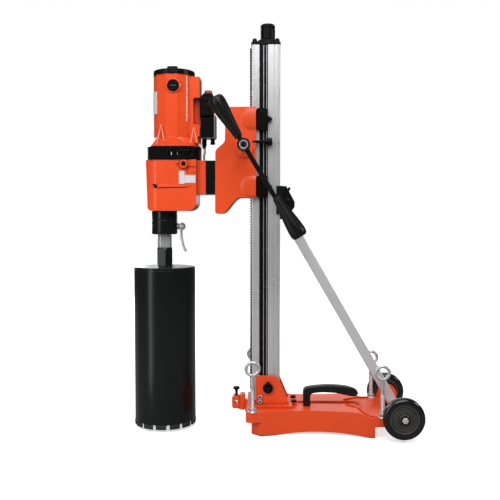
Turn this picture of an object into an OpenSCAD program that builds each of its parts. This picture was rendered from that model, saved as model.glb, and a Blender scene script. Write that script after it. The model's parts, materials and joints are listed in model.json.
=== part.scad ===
// Core drill rig: a water-fed core drill on a tilting rack column with a wheeled anchor base.
// Origin: drill axis at the mouth of the bit. +X runs rearward to the wheels, +Z up, millimetres.

/* [Core bit] */
// Outer diameter over the segments
bit_od = 179; // [160:1:185]
// Depth of the barrel from its mouth to its top plate
bit_depth = 452; // [430:1:452]
// Number of diamond segments round the rim
segment_count = 14; // [10:1:16]

/* [Drill motor] */
// Distance from the spindle axis to the motor axis
motor_x = 30; // [29:0.5:31]
// Radius of the motor housing
motor_r = 57; // [57:0.5:60]
// Height of the gearbox floor above the mouth of the bit
gearbox_z = 622; // [622:1:624]

/* [Column] */
// Front face of the column
column_x = 256; // [256:0.5:257]
// Depth of the column from front to rear
column_depth = 81; // [81:0.5:82]
// Width of the column
column_w = 70; // [69:0.5:70]
// Top of the column
column_top = 1092; // [1060:1:1120]

/* [Feed] */
// Module of the rack and its pinion
rack_module = 2.5; // [2.5:0.1:2.5]
// Teeth on the feed pinion
pinion_teeth = 12; // [12:1:12]
// Height of the pinion and crank axis at rest
crank_z = 798; // [794:1:802]
// Lean of the crank bar from upright, in degrees
crank_lean = 31; // [20:1:36]

/* [Base] */
// Front edge of the base
base_front = 241; // [238:1:244]
// Half width of the base
base_half = 119; // [117:1:119]
// Height of the top of the base
base_top = 60; // [58:1:60]
// Width of the anchor slot
slot_w = 30; // [20:1:36]
// Radius of the wheels, and the height of their axle
wheel_r = 57; // [54:0.5:58]
// Distance from the middle plane to the middle of each wheel
wheel_y = 151; // [150:1:156]

/* [Brace] */
// Side of the square brace tube
brace_side = 28; // [24:1:28]
// Height of the brace's upper pin
brace_pin_z = 609; // [600:1:615]

/* [Hidden] */
$fn = 64;
orange = "orangered";
black = [0.08, 0.08, 0.08];
zinc = [0.75, 0.77, 0.78];

// Small gap that keeps two separate pieces from sharing a face
gap = 0.3;
// Radial clearance of a shaft in its running fit
running = 0.05;

// Core bit and spindle heights, upward from the floor
segment_h = 10;
bit_r = bit_od / 2;
barrel_r = bit_r - 1;
bit_bore_r = bit_r - 4.5;
plate_h = 8;
hub_z = bit_depth + plate_h;
hub_top = 516;
hub_r = 24.5;
thread_r = 15.9;
flats_top = 553;
spindle_r = 20.5;
shaft_r = 15;
collar_z = 554;
collar_r = 37.5;
water_z = 577;

// Gearbox, vent ring and motor heights
ring_z = 767;
housing_z = 805;
housing_top = 1019;
flange_z = 669;
flange_x = 124.5;
spacer_x = 152;
gearbox_half = 56;
carrier_z = 745;
shaft_top = 1017;
brush_x = motor_x + 5;
brush_z = 974;
switch_x = 107;
wall = 4;

// Gear train: spindle gear, layshaft and motor pinion
out_teeth = 30;
lay_pinion_teeth = 12;
out_module = 2;
lay_teeth = 32;
motor_teeth = 14;
lay_module = 1.25;
out_gear_z = 645;
lay_gear_z = 690;
lay_to_out = out_module * (out_teeth + lay_pinion_teeth) / 2;
lay_to_motor = lay_module * (lay_teeth + motor_teeth) / 2;
lay_x = (lay_to_out ^ 2 - lay_to_motor ^ 2 + motor_x ^ 2) / (2 * motor_x);
lay_y = sqrt(lay_to_out ^ 2 - lay_x ^ 2);
out_angle = atan2(lay_y, lay_x);
motor_angle = atan2(-lay_y, motor_x - lay_x);

// Column section
column_y = column_w / 2;
column_rear = column_x + column_depth;
groove_x = column_x + 13;
groove_w = 33;
groove_d = 7;
strip_z = 136;
column_z = 74;
cavity_x = column_x + 14;
cavity_w = 46;
cavity_half = 21;
rack_half = 11;
rack_tip_x = 250;
pivot_x = 303;
pivot_z = 114;
pivot_r = 8;

// Feed pinion
pitch_r = rack_module * pinion_teeth / 2;
rack_addendum = 0.8 * rack_module;
pinion_x = rack_tip_x + rack_addendum - pitch_r;
tooth_pitch = PI * rack_module;
plate_in = 38.5;
plate_out = 50;
lock_y = 46.5;
lock_z = 817;
crank_y = -146;
crank_up = 150;
crank_down = 292;
bar_r = 6.5;
grip_len = 126;
grip_r = 23;

// Base
axle_x = 672;
axle_r = 8;
skirt = 8;
deck = 10;
lip_z = 32;
// The feet stand a little below the mouth of the bit and the wheels
floor_z = -8;
waist_r = 480;
waist_x = 423;
waist_depth = 27;
flange_low = 23;
flange_high = 47;
base_rear = 650;
// Shallow arch under the long sides: middle, half length, height and radius
arch_x = 454;
arch_half = 136;
arch_h = 8.5;
arch_r = (arch_half ^ 2 + arch_h ^ 2) / (2 * arch_h);
clamp_x = 210;
screw_y = 109;
screw_front_x = 260;
screw_rear_x = 621;
screw_r = 6;
ring_r = 18.2;
wire_r = 4.8;
// Foot bolts on each side of the middle plane, as [x, y]
foot_bolt_at = [[310, 61], [354, 61], [378, 25]];
foot_plate = 7;
slot_x1 = 401;
slot_x2 = 556;

// Brace
brace_pin_x = column_rear + 17;
brace_len = sqrt((axle_x - brace_pin_x) ^ 2 + (brace_pin_z - wheel_r) ^ 2);
brace_lean = atan2(axle_x - brace_pin_x, brace_pin_z - wheel_r);
ear_in = brace_side / 2 + 2;
ear_t = 6;
// Stretch of the tube beyond its upper pin
brace_over = 6;

// ---------- shared shapes ----------

// A cylinder along Y from y1 to y2
module bar_y(r, y1, y2) {
    translate([0, y1, 0]) rotate([-90, 0, 0]) cylinder(r = r, h = y2 - y1);
}

// A cylinder along X from x1 to x2
module bar_x(r, x1, x2) {
    translate([x1, 0, 0]) rotate([0, 90, 0]) cylinder(r = r, h = x2 - x1);
}

module ring(r_out, r_in, h) {
    difference() {
        cylinder(r = r_out, h = h);
        translate([0, 0, -1]) cylinder(r = r_in, h = h + 2);
    }
}

module hex_head(across, h) {
    cylinder(r = across / sqrt(3), h = h, $fn = 6);
}

// An XZ outline made solid from y1 to y2
module plate_xz(y1, y2) {
    translate([0, y2, 0]) rotate([90, 0, 0]) linear_extrude(y2 - y1) children();
}

module both_sides() {
    children();
    mirror([0, 1, 0]) children();
}

module rounded_square(w, d, r) {
    translate([r, 0]) square([w - 2 * r, d]);
    translate([0, r]) square([w, d - 2 * r]);
    for (x = [r, w - r], y = [r, d - r]) translate([x, y]) circle(r);
}

// Points of an arc of radius r round [x, y], from angle a1 to a2
function arc(x, y, r, a1, a2, n = 6) =
    [for (i = [0:n]) let (a = a1 + (a2 - a1) * i / n) [x + r * cos(a), y + r * sin(a)]];

// Points of an S-curve from p to q that starts and ends level
function s_curve(p, q, n = 8) =
    [for (i = [0:n]) let (t = i / n) [p[0] + (q[0] - p[0]) * t, p[1] + (q[1] - p[1]) * (1 - cos(180 * t)) / 2]];

// Angle in degrees between a tooth's flank at radius r and the flank at its base circle
function involute(rb, r) = r <= rb ? 0 : sqrt((r / rb) ^ 2 - 1) * 180 / PI - acos(rb / r);

// Outline of an involute spur gear with a tooth on the +X axis
module gear_outline(m, teeth, backlash = 0.45) {
    rp = m * teeth / 2;
    rb = rp * cos(20);
    radii = [rp - m, max(rb, rp - 0.8 * m), rp, rp + 0.4 * m, rp + 0.75 * m];
    half = 90 / teeth - backlash / rp * 90 / PI + involute(rb, rp);
    polygon([for (i = [0:teeth - 1], side = [-1, 1], k = [0:4])
        let (r = radii[side < 0 ? k : 4 - k], a = i * 360 / teeth + side * (half - involute(rb, r)))
        [r * cos(a), r * sin(a)]]);
}

// ---------- base ----------

module base_plan() {
    difference() {
        translate([base_front, -base_half]) rounded_square(base_rear - base_front, 2 * base_half, 12);
        for (side = [-1, 1]) translate([waist_x, side * (base_half + waist_r - waist_depth)]) circle(waist_r);
    }
}

// Side outline of the base: front lip, deck, slope down to the rear flange, skirt
module base_profile() {
    polygon([[base_front, lip_z], [base_front, base_top], [556, base_top], [588, flange_high],
        [base_rear, flange_high], [base_rear, flange_low], [600, flange_low], [600, floor_z],
        [257, floor_z], [257, lip_z]]);
}

module axle_lug() {
    plate_xz(-126, -112) {
        translate([axle_x, wheel_r]) circle(29);
        polygon([[636, flange_low], [636, flange_high], [652, 73], [axle_x, 73], [axle_x, 28]]);
    }
}

module base_casting() {
    color(orange) difference() {
        union() {
            intersection() {
                translate([0, 0, floor_z]) linear_extrude(base_top - floor_z) base_plan();
                plate_xz(-base_half - 1, base_half + 1) base_profile();
            }
            both_sides() axle_lug();
        }
        // Corners cut back below the lip
        both_sides() translate([0, 0, floor_z - 1]) linear_extrude(lip_z - floor_z + 1)
            polygon([[250, base_half - 31], [257, base_half - 31], [291, base_half], [291, 130], [250, 130]]);
        // Hollow underside, in a front and a rear bay with the slot walls between
        for (side = [-1, 1]) intersection() {
            translate([0, 0, floor_z - 1]) linear_extrude(base_top - deck - floor_z + 1) difference() {
                translate([265, side > 0 ? slot_w / 2 + skirt : -base_half + skirt])
                    square([592 - 265, base_half - 2 * skirt - slot_w / 2]);
                translate([waist_x, side * (base_half + waist_r - waist_depth)]) circle(waist_r + skirt);
                polygon([[250, side * (base_half - 42)], [264, side * (base_half - 42)],
                    [300, side * (base_half - 8)], [300, side * 130], [250, side * 130]]);
            }
            plate_xz(-base_half, base_half)
                polygon([[260, floor_z - 1], [260, base_top - deck], [556, base_top - deck], [588, 37],
                    [592, 37], [592, floor_z - 1]]);
        }
        // Arched long sides and raised front and rear edges, which leave four corner feet
        translate([arch_x, 0, floor_z + arch_h - arch_r]) bar_y(arch_r, -130, 130);
        translate([250, -80, floor_z - 1]) cube([30, 160, 10]);
        translate([580, -90, floor_z - 1]) cube([30, 180, 10]);
        // Anchor slot
        translate([0, 0, floor_z - 1]) linear_extrude(base_top - floor_z + 2) anchor_slot(slot_w / 2);
        // Tapped holes for the levelling screws
        for (x = [screw_front_x, screw_rear_x], side = [-1, 1])
            translate([x, side * screw_y, floor_z - 1]) cylinder(r = screw_r + running, h = base_top + 12);
        for (at = foot_bolt_at, side = [-1, 1])
            translate([at[0], side * at[1], base_top - deck - 1]) cylinder(r = 5.2, h = deck + 2);
        translate([axle_x, 0, wheel_r]) bar_y(axle_r + running, -127, 127);
    }
}

module anchor_slot(r) {
    translate([slot_x1, -r]) square([slot_x2 - slot_x1, 2 * r]);
    translate([slot_x1, 0]) circle(r);
    translate([slot_x2, 0]) circle(r);
}

// Gusset outline of the column foot
module gusset() {
    polygon(concat([[268, base_top + 1], [268, 148]], arc(316, 128, 20, 90, 30),
        [[366, base_top + 1]]));
}

module foot_bracket() {
    color(orange) difference() {
        union() {
            plate_xz(-52, -40) gusset();
            plate_xz(40, 52) gusset();
            translate([262, -70, base_top]) cube([110, 140, foot_plate]);
            translate([370, -34, base_top]) cube([16, 68, foot_plate]);
        }
        translate([pivot_x, 0, pivot_z]) bar_y(pivot_r + running, -60, 60);
        for (z = [74, 88], side = [-1, 1]) translate([280, side * 46, z]) bar_y(4, -10, 10);
        for (at = foot_bolt_at, side = [-1, 1])
            translate([at[0], side * at[1], base_top - 1]) cylinder(r = 5.2, h = 10);
        // Room for the foot of the column as it tilts
        translate([pivot_x, 0, pivot_z]) bar_y(54.2, -38, 38);
    }
}

module foot_bolts() {
    color(black) for (at = foot_bolt_at, side = [-1, 1]) translate([at[0], side * at[1], 0]) {
        translate([0, 0, base_top + foot_plate]) hex_head(14, 6);
        translate([0, 0, base_top - deck + 1]) cylinder(r = 5, h = deck + foot_plate);
    }
}

module column_pivot_bolt() {
    color(black) translate([pivot_x, 0, pivot_z]) {
        bar_y(pivot_r, -56, 60);
        bar_y(14, -60, -52);
        translate([0, 0, 14]) bar_y(4.5, -60, -52);
        translate([0, 60, 0]) rotate([90, 0, 0]) hex_head(24, 8);
    }
}

module column_lock_screws() {
    color(zinc) both_sides() for (z = [74, 88]) translate([280, 0, z]) difference() {
        union() {
            bar_y(6.5, -58, -52);
            bar_y(3.9, -53, -41);
        }
        translate([0, -54, 0]) rotate([90, 0, 0]) hex_head(5, 6);
    }
}

// Fixed carry handle: an upright post with a grip that runs back to a free end
module carry_handle() {
    color(black) translate([0, -35, 0]) {
        translate([404, -11, base_top]) cube([21, 22, 36]);
        plate_xz(-12, 12) polygon(concat([[404, 94], [404, 109]], arc(414, 106, 9, 150, 105, 3),
            [[436, 118.5], [468, 121], [500, 120.5], [528, 117.5]], arc(550, 101, 12, 65, -85, 6),
            [[540, 90.5], [526, 92.5], [500, 98], [468, 100], [442, 98.5], [425, 94]]));
    }
}

module levelling_nuts() {
    color(zinc) for (at = [[screw_front_x, base_top], [screw_rear_x, flange_high]], side = [-1, 1])
        translate([at[0], side * screw_y, at[1]]) difference() {
            union() {
                cylinder(r = 13, h = 3);
                translate([0, 0, 3]) hex_head(19, 9);
            }
            translate([0, 0, -1]) cylinder(r = screw_r + running, h = 14);
        }
}

// Eye screw with its tip at height tip_z and its ring at height z
module levelling_screw(x, y, tip_z, z) {
    color(zinc) translate([x, y, 0]) {
        translate([0, 0, tip_z + 3]) cylinder(r = screw_r, h = z - ring_r - tip_z - 2);
        translate([0, 0, tip_z]) cylinder(r1 = 4, r2 = screw_r, h = 3);
        translate([0, 0, z]) rotate([90, 0, 0]) rotate_extrude() translate([ring_r, 0]) circle(wire_r);
    }
}

module levelling_screw_1() {
    levelling_screw(screw_front_x, -screw_y, lip_z + 2, 181);
}

module levelling_screw_2() {
    levelling_screw(screw_front_x, screw_y, lip_z + 2, 181);
}

module levelling_screw_3() {
    levelling_screw(screw_rear_x, -screw_y, flange_low + 2, 172);
}

module levelling_screw_4() {
    levelling_screw(screw_rear_x, screw_y, flange_low + 2, 172);
}

module axle() {
    color(zinc) translate([axle_x, 0, wheel_r]) bar_y(axle_r, -170, 170);
}

module axle_nuts() {
    color("silver") both_sides() translate([axle_x, 0, wheel_r]) {
        translate([0, -168, 0]) rotate([90, 0, 0]) difference() {
            union() {
                cylinder(r = 12, h = 2);
                hex_head(18, 8);
            }
            translate([0, 0, -1]) cylinder(r = axle_r, h = 3.2);
        }
        difference() {
            bar_y(12, -133.4, -126.4);
            bar_y(axle_r, -134, -126);
        }
    }
}

// Hub disc with a rim that carries the tyre, centred on y = 0
module wheel_hub() {
    color([0.3, 0.3, 0.3]) rotate([90, 0, 0]) rotate_extrude() polygon([[axle_r + running, -17], [14, -17],
        [14, -6], [27, -3], [39, -14], [43, -14], [43, 14], [39, 14], [33, 8], [27, 12], [18, 12],
        [14, 16.4], [axle_r + running, 16.4]]);
}

module wheel_tyre() {
    color(black) rotate([90, 0, 0]) rotate_extrude() polygon(concat([[43, -15]],
        [for (p = arc(0, 0, 1, -80, 80, 10)) [43 + (wheel_r - 43) * p[0], 16 * p[1]]], [[43, 15]]));
}

module wheel_near_hub() {
    translate([axle_x, -wheel_y, wheel_r]) wheel_hub();
}

module wheel_near_tyre() {
    translate([axle_x, -wheel_y, wheel_r]) wheel_tyre();
}

module wheel_far_hub() {
    mirror([0, 1, 0]) wheel_near_hub();
}

module wheel_far_tyre() {
    mirror([0, 1, 0]) wheel_near_tyre();
}

// Clamp on the front edge that takes the rod of a water-collecting ring
module accessory_clamp() {
    color(orange) difference() {
        union() {
            plate_xz(-16, 16) polygon([[base_front, 36], [226, 38], [210, 46], [199, 56], [197, 80],
                [220, 80], [221, 86], [234, 86], [235, 72], [base_front, 70]]);
            translate([236, -24, 34]) cube([base_front - 236, 48, 28]);
        }
        translate([clamp_x, 0, 62]) bar_y(6, -30, 30);
        translate([clamp_x, 0, 64]) cylinder(r = 4.1, h = 40);
    }
}

module accessory_screw() {
    color(black) translate([clamp_x, 0, 0]) {
        translate([0, 0, 70.5]) cylinder(r = 4, h = 30);
        translate([0, 0, 98]) cylinder(r = 9.5, h = 7);
    }
}

// ---------- column ----------

module column_section() {
    difference() {
        translate([column_x, -column_y]) rounded_square(column_depth, column_w, 3);
        for (side = [-1, 1]) {
            translate([groove_x, side * column_y - groove_d]) square([groove_w, 2 * groove_d]);
            translate([column_rear - 18, side * column_y - 0.8]) square([1.6, 1.6]);
        }
        translate([column_x - 1, -rack_half]) square([5, 2 * rack_half]);
        translate([cavity_x, -cavity_half]) square([cavity_w, 2 * cavity_half]);
        translate([column_rear - 5, -6]) square([6, 12]);
        translate([column_rear - 12, -11]) square([7.5, 22]);
    }
}

module column_profile() {
    color("silver") difference() {
        translate([0, 0, column_z]) linear_extrude(column_top - column_z) column_section();
        translate([pivot_x, 0, pivot_z]) bar_y(pivot_r + running, -40, 40);
        translate([0, 0, pivot_z]) rotate([0, 90, 0]) translate([0, 0, column_x - 1]) cylinder(r = 3, h = 3);
    }
}

module column_foot_block() {
    color(zinc) difference() {
        union() {
            translate([cavity_x + 0.1, -cavity_half + 0.1, column_z])
                cube([cavity_w - 0.2, 2 * cavity_half - 0.2, 62]);
            both_sides() translate([pivot_x, 0, pivot_z]) bar_y(14, -39.7, -column_y);
        }
        translate([pivot_x, 0, pivot_z]) bar_y(pivot_r + running, -45, 45);
    }
}

// Toothed rack: one gap faces the pinion's axis when the carriage is at rest
module rack_outline() {
    low = ceil((96 - crank_z) / tooth_pitch);
    high = floor((column_top - 10 - crank_z) / tooth_pitch);
    root = rack_tip_x + rack_addendum + rack_module;
    tip_half = tooth_pitch / 4 - tan(20) * rack_addendum;
    root_half = tooth_pitch / 4 + tan(20) * rack_module;
    polygon(concat([[260, 90], [root, 90]],
        [for (k = [low:high], side = [-1, 1], tip = side < 0 ? [0, 1] : [1, 0])
            let (z = crank_z + (k + 0.5) * tooth_pitch)
            tip == 1 ? [rack_tip_x, z + side * tip_half] : [root, z + side * root_half]],
        [[root, column_top - 2], [260, column_top - 2]]));
}

module column_rack() {
    color(black) plate_xz(-rack_half, rack_half) rack_outline();
}

// Black steel strips in the side grooves, each with a low middle rib
module guide_strips() {
    color(black) both_sides() translate([groove_x, -column_y + groove_d - 2, strip_z]) {
        cube([groove_w, 2, column_top - strip_z - 2]);
        translate([groove_w / 2 - 2, -1.5, 0]) cube([4, 2, column_top - strip_z - 2]);
    }
}

module column_cap() {
    color(black) difference() {
        union() {
            translate([column_x - 2, -column_y - 1, column_top]) cube([column_depth + 3, column_w + 2, 7]);
            translate([column_x + 2, -column_y + 3, column_top + 6]) cube([16, column_w - 6, 12]);
            translate([301, 0, column_top + 6]) cylinder(r1 = 35, r2 = 23, h = 13);
            translate([cavity_x + 0.2, -cavity_half + 0.2, column_top - 20])
                cube([cavity_w - 0.4, 2 * cavity_half - 0.4, 21]);
        }
        translate([301, 0, column_top - 21]) cylinder(r = 12 + gap, h = 42);
    }
}

module jack_screw() {
    color(black) translate([301, 0, 0]) {
        translate([0, 0, column_top - 100]) cylinder(r = 12, h = 130);
        translate([0, 0, column_top + 19.5]) cylinder(r = 21.2, h = 41.5);
        translate([0, 0, column_top + 61]) cylinder(r1 = 21.2, r2 = 18.5, h = 3);
    }
}

// ---------- brace ----------

module brace_tube() {
    h = brace_side / 2;
    color("lightgray") translate([axle_x, 0, wheel_r]) rotate([0, -brace_lean, 0]) difference() {
        union() {
            translate([-h, -h, 16]) cube([brace_side, brace_side, brace_len - 16 + brace_over]);
            both_sides() bar_y(16, -h, -h + 8);
            both_sides() translate([-h, -h, 0]) cube([brace_side, 8, 20]);
        }
        translate([-h + 2.5, -h + 2.5, 30]) cube([brace_side - 5, brace_side - 5, brace_len]);
        bar_y(axle_r + running, -h - 1, h + 1);
    }
}

// Side outline of the clamp's ears
module clamp_ear() {
    polygon(concat([[column_rear + gap, 598], [column_rear + gap, 693], [355, 693], [379, 648]],
        arc(368, 636, 11, 0, -60), [[360, 596]]));
}

module brace_clamp() {
    color(black) difference() {
        union() {
            plate_xz(-ear_in - ear_t, -ear_in) clamp_ear();
            plate_xz(ear_in, ear_in + ear_t) clamp_ear();
            translate([column_rear + gap, -40, 613]) cube([8, 80, 80]);
            both_sides() translate([326, -40, 613]) cube([20, 4.6, 80]);
            // T-nut in the rear slot of the column
            translate([column_rear - 6, -5.6, 640]) cube([8, 11.2, 40]);
            translate([column_rear - 11.6, -10.6, 640]) cube([6.6, 21.2, 40]);
            // Two half pins, one through each ear
            both_sides() translate([brace_pin_x, 0, brace_pin_z])
                bar_y(9, -ear_in - ear_t - 6, -ear_in - ear_t);
        }
        translate([0, 0, 660]) bar_x(4.1, column_rear - 10, column_rear + 20);
    }
}

module brace_clamp_lever() {
    color(black) translate([0, 0, 660]) {
        bar_x(4, column_rear - 8, column_rear + 12);
        bar_x(9, column_rear + 8.6, column_rear + 20);
        translate([column_rear + 12, -3, 0]) rotate([0, 22, 0]) cube([7, 6, 34]);
    }
}

// ---------- carriage ----------

module carriage_outline() {
    polygon(concat([[268, 660], [268, 915]], arc(189, 907, 8, 90, 180, 4), [[181, 850]],
        [for (p = s_curve([822, 180], [788, 153], 8)) [p[1], p[0]]],
        arc(160, 621, 8, 180, 250, 4), [[168, 613.5]],
        [for (p = s_curve([168, 613.5], [224, 660], 10)) p]));
}

module carriage_casting() {
    color(orange) difference() {
        union() {
            plate_xz(-plate_out, -plate_in) carriage_outline();
            plate_xz(plate_in, plate_out) carriage_outline();
            translate([spacer_x, -plate_in, 640]) cube([14, 2 * plate_in, 146]);
            translate([160, -plate_in, 735]) cube([52, 2 * plate_in, 8]);
            translate([184, -plate_in, 893]) cube([50, 2 * plate_in, 8]);
            both_sides() translate([pinion_x, 0, crank_z]) bar_y(24, -plate_out - 8, -plate_in);
            // Pads that back the guide shoes
            both_sides() for (z = [690, 881]) translate([256, 0, z]) intersection() {
                bar_y(26, -plate_out - 3, -plate_out + 1);
                translate([-30, -60, -30]) cube([42, 60, 60]);
            }
        }
        translate([pinion_x, 0, crank_z]) bar_y(12, -70, 70);
        both_sides() translate([0, -lock_y, lock_z]) bar_x(4.6, 258, 270);
    }
}

// Black shoes that run in the side grooves
module guide_shoes() {
    color(black) both_sides() for (z = [660, 850]) {
        translate([268, -48, z]) cube([34, 9.7, 62]);
        translate([groove_x + 0.6, -39, z]) cube([groove_w - 1.2, 7, 62]);
    }
}

module shoe_bolts() {
    color(black) both_sides() for (z = [690, 881]) translate([0, -45, z]) {
        bar_x(5, 302, 314);
        bar_x(9.4, 302, 308);
    }
}

module carriage_lock_screw() {
    color(black) translate([0, -lock_y, lock_z]) {
        bar_x(4.5, 262, 304);
        bar_x(11, 302, 314);
        bar_x(7.5, 295, 302.5);
    }
}

module pinion_bushes() {
    color("goldenrod") both_sides() translate([pinion_x, 0, crank_z]) difference() {
        bar_y(12, -plate_out - 8, -plate_in);
        bar_y(pivot_r + running, -70, 0);
    }
}

module feed_pinion() {
    color(zinc) translate([pinion_x, 0, crank_z]) {
        plate_xz(-13, 13) gear_outline(rack_module, pinion_teeth, 0.5);
        bar_y(pivot_r, crank_y + 17, 62);
        bar_y(11, -37, -13);
        bar_y(11, 13, 37);
    }
}

// Hub that the crank bar slides through, with a square socket in its outer face
module crank_hub() {
    color(black) translate([pinion_x, 0, crank_z]) difference() {
        bar_y(18, crank_y - 14, crank_y + 17);
        translate([-6.5, crank_y - 15, -6.5]) cube([13, 7, 13]);
        rotate([0, -crank_lean, 0]) translate([0, crank_y, -20]) cylinder(r = bar_r + running, h = 40);
        difference() {
            bar_y(15, crank_y - 15, crank_y - 12);
            bar_y(11, crank_y - 15, crank_y - 12);
        }
    }
}

module crank_bar() {
    color(black) translate([pinion_x, crank_y, crank_z]) rotate([0, -crank_lean, 0])
        translate([0, 0, -crank_down + 20]) cylinder(r = bar_r, h = crank_up + crank_down - 40);
}

// Grip that widens to a round end, along +Z from z = 0
module grip_shape() {
    difference() {
        rotate_extrude() polygon(concat([[0, 0], [9.5, 0], [11, 3], [grip_r - 1, grip_len - grip_r - 10]],
            arc(0, grip_len - grip_r, grip_r, -12, 90, 8)));
        translate([0, 0, -1]) cylinder(r = bar_r, h = grip_len - 19);
    }
}

module crank_grips() {
    color(black) translate([pinion_x, crank_y, crank_z]) rotate([0, -crank_lean, 0]) {
        translate([0, 0, crank_up - grip_len]) grip_shape();
        translate([0, 0, -crank_down + grip_len]) rotate([180, 0, 0]) grip_shape();
    }
}

// ---------- gearbox ----------

module motor_spacer() {
    color(black) translate([flange_x, -42, flange_z]) cube([spacer_x - flange_x, 84, 96]);
}

module gearbox_plan(inset) {
    r = 44 - inset;
    translate([0, 0]) circle(r + 4);
    translate([0, -gearbox_half + inset]) square([99 - inset, 2 * (gearbox_half - inset)]);
    intersection() {
        translate([0, 0]) circle(r + 14);
        translate([-48 + inset, -gearbox_half + inset]) square([60, 2 * (gearbox_half - inset)]);
    }
}

module gearbox_housing() {
    color(orange) difference() {
        union() {
            intersection() {
                translate([0, 0, gearbox_z]) linear_extrude(ring_z - gearbox_z) gearbox_plan(0);
                plate_xz(-60, 60) polygon(concat([[-48, ring_z], [-43, 636]],
                    arc(-31, 634, 12, 190, 270, 5), arc(73, 648, 26, -90, 0, 6), [[99, ring_z]]));
            }
            translate([90, -42, flange_z]) cube([flange_x - 90, 84, 96]);
        }
        translate([0, 0, gearbox_z + 18]) linear_extrude(200) gearbox_plan(wall);
        // Seats of the lower bearings, and the bores of the selector and plug
        translate([0, 0, gearbox_z + 2]) cylinder(r = 26, h = 40);
        translate([0, 0, gearbox_z - 1]) cylinder(r = 18, h = 5);
        translate([lay_x, lay_y, 632]) cylinder(r = 11, h = 20);
        translate([64, 0, 754]) bar_y(5 + running, -70, -40);
        translate([-16, 0, 691]) bar_y(5, -70, -40);
    }
}

module gearbox_plug() {
    color(black) translate([-16, 0, 691]) bar_y(5, -58, -48);
}

module gear_selector() {
    color(orange) translate([64, 0, 754]) difference() {
        union() {
            bar_y(13, -65, -gearbox_half - gap);
            bar_y(5, -gearbox_half - 1, -49);
        }
        bar_y(4.5, -66, -62);
    }
}

// Black ring with cooling slots between the gearbox and the motor
module vent_ring() {
    color(black) difference() {
        union() {
            translate([0, 0, ring_z]) linear_extrude(housing_z - ring_z) ring_plan(0);
            translate([0, 0, carrier_z]) linear_extrude(ring_z - carrier_z + 1) gearbox_plan(wall + gap);
        }
        translate([0, 0, ring_z + 6]) linear_extrude(40) ring_plan(wall);
        // Bearing seats: motor above, spindle and layshaft below, and room for the selector
        translate([motor_x, 0, ring_z - 8]) cylinder(r = 16, h = 20);
        translate([motor_x, 0, carrier_z - 1]) cylinder(r = 7.5, h = 30);
        translate([0, 0, carrier_z - 1]) cylinder(r = 21, h = 13);
        translate([lay_x, lay_y, carrier_z - 1]) cylinder(r = 13, h = 11);
        translate([54, -60, carrier_z - 1]) cube([20, 20, ring_z - carrier_z - 1]);
        for (x = [10:9:82], side = [-1, 1])
            translate([x, side * 58 - 6, ring_z + 12]) cube([4, 12, 20]);
    }
}

module ring_plan(inset) {
    intersection() {
        translate([motor_x, 0]) circle(79 - inset);
        translate([-48 + inset, -gearbox_half - 2 + inset]) square([157 - 2 * inset, 2 * (gearbox_half + 2 - inset)]);
    }
}

// ---------- motor ----------

module motor_housing() {
    color(orange) difference() {
        union() {
            translate([motor_x, 0, 830]) rotate(15) cylinder(r = motor_r + 1.9, h = housing_top - 830, $fn = 12);
            translate([motor_x, 0, housing_z + gap]) cylinder(r1 = 77, r2 = motor_r, h = 26);
            translate([motor_x + 20, -34, housing_z + 10]) cube([switch_x - motor_x - 20, 68, 188]);
        }
        translate([motor_x, 0, housing_z - 1]) cylinder(r = motor_r - wall, h = 230);
        intersection() {
            translate([motor_x, 0, housing_z - 1]) cylinder(r1 = 71, r2 = motor_r - wall, h = 22);
            translate([0, 0, housing_z - 2]) linear_extrude(30) ring_plan(wall);
        }
        // Sides of the flare, cut flush with the ring below
        translate([0, 0, housing_z - 1]) difference() {
            linear_extrude(30) square(400, center = true);
            linear_extrude(30) ring_plan(0);
        }
        translate([brush_x, 0, brush_z]) bar_y(14, -70, 70);
    }
}

module motor_cap() {
    color(black) translate([motor_x, 0, 0]) {
        translate([0, 0, housing_top + gap]) cylinder(r1 = motor_r - 0.5, r2 = motor_r - 7, h = 11);
        translate([0, 0, housing_top + 11]) cylinder(r = 22, h = 6);
        translate([0, 0, housing_top - 6]) ring(motor_r - wall - 0.5, 40, 7);
        translate([0, 0, housing_top - 12]) ring(18, 13, 14);
    }
}

module brush_caps() {
    color(black) both_sides() translate([brush_x, 0, brush_z]) difference() {
        bar_y(16.5, -62.5, -57.2);
        translate([-12, -64, -1.2]) cube([24, 3.5, 2.4]);
    }
}

module carbon_brushes() {
    color([0.2, 0.2, 0.22]) both_sides() translate([brush_x, 0, brush_z]) {
        translate([-5, -40, -8]) cube([10, 24, 16]);
        difference() {
            bar_y(13.5, -57, -36);
            bar_y(9, -58, -35);
        }
    }
}

module stator() {
    color([0.45, 0.45, 0.48]) translate([motor_x, 0, 850]) {
        ring(motor_r - wall - 0.2, 30, 90);
        translate([0, 0, -14]) ring(47, 32, 14);
        translate([0, 0, 90]) ring(47, 32, 14);
    }
}

// Rotor: shaft with core, commutator, fan and the pinion that drives the gears
module armature() {
    color([0.6, 0.45, 0.3]) translate([motor_x, 0, 0]) {
        translate([0, 0, lay_gear_z - 4]) cylinder(r = 6, h = shaft_top - lay_gear_z + 4);
        translate([0, 0, 848]) cylinder(r = 29, h = 94);
        translate([0, 0, 958]) cylinder(r = 15.7, h = 34);
        translate([0, 0, 812]) cylinder(r = 20, h = 12);
        for (i = [0:11]) rotate(i * 30) translate([18, -1, 812]) cube([26, 2, 14]);
        translate([0, 0, lay_gear_z]) rotate(motor_angle + 180 + 180 / motor_teeth)
            linear_extrude(14) gear_outline(lay_module, motor_teeth);
    }
}

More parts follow.
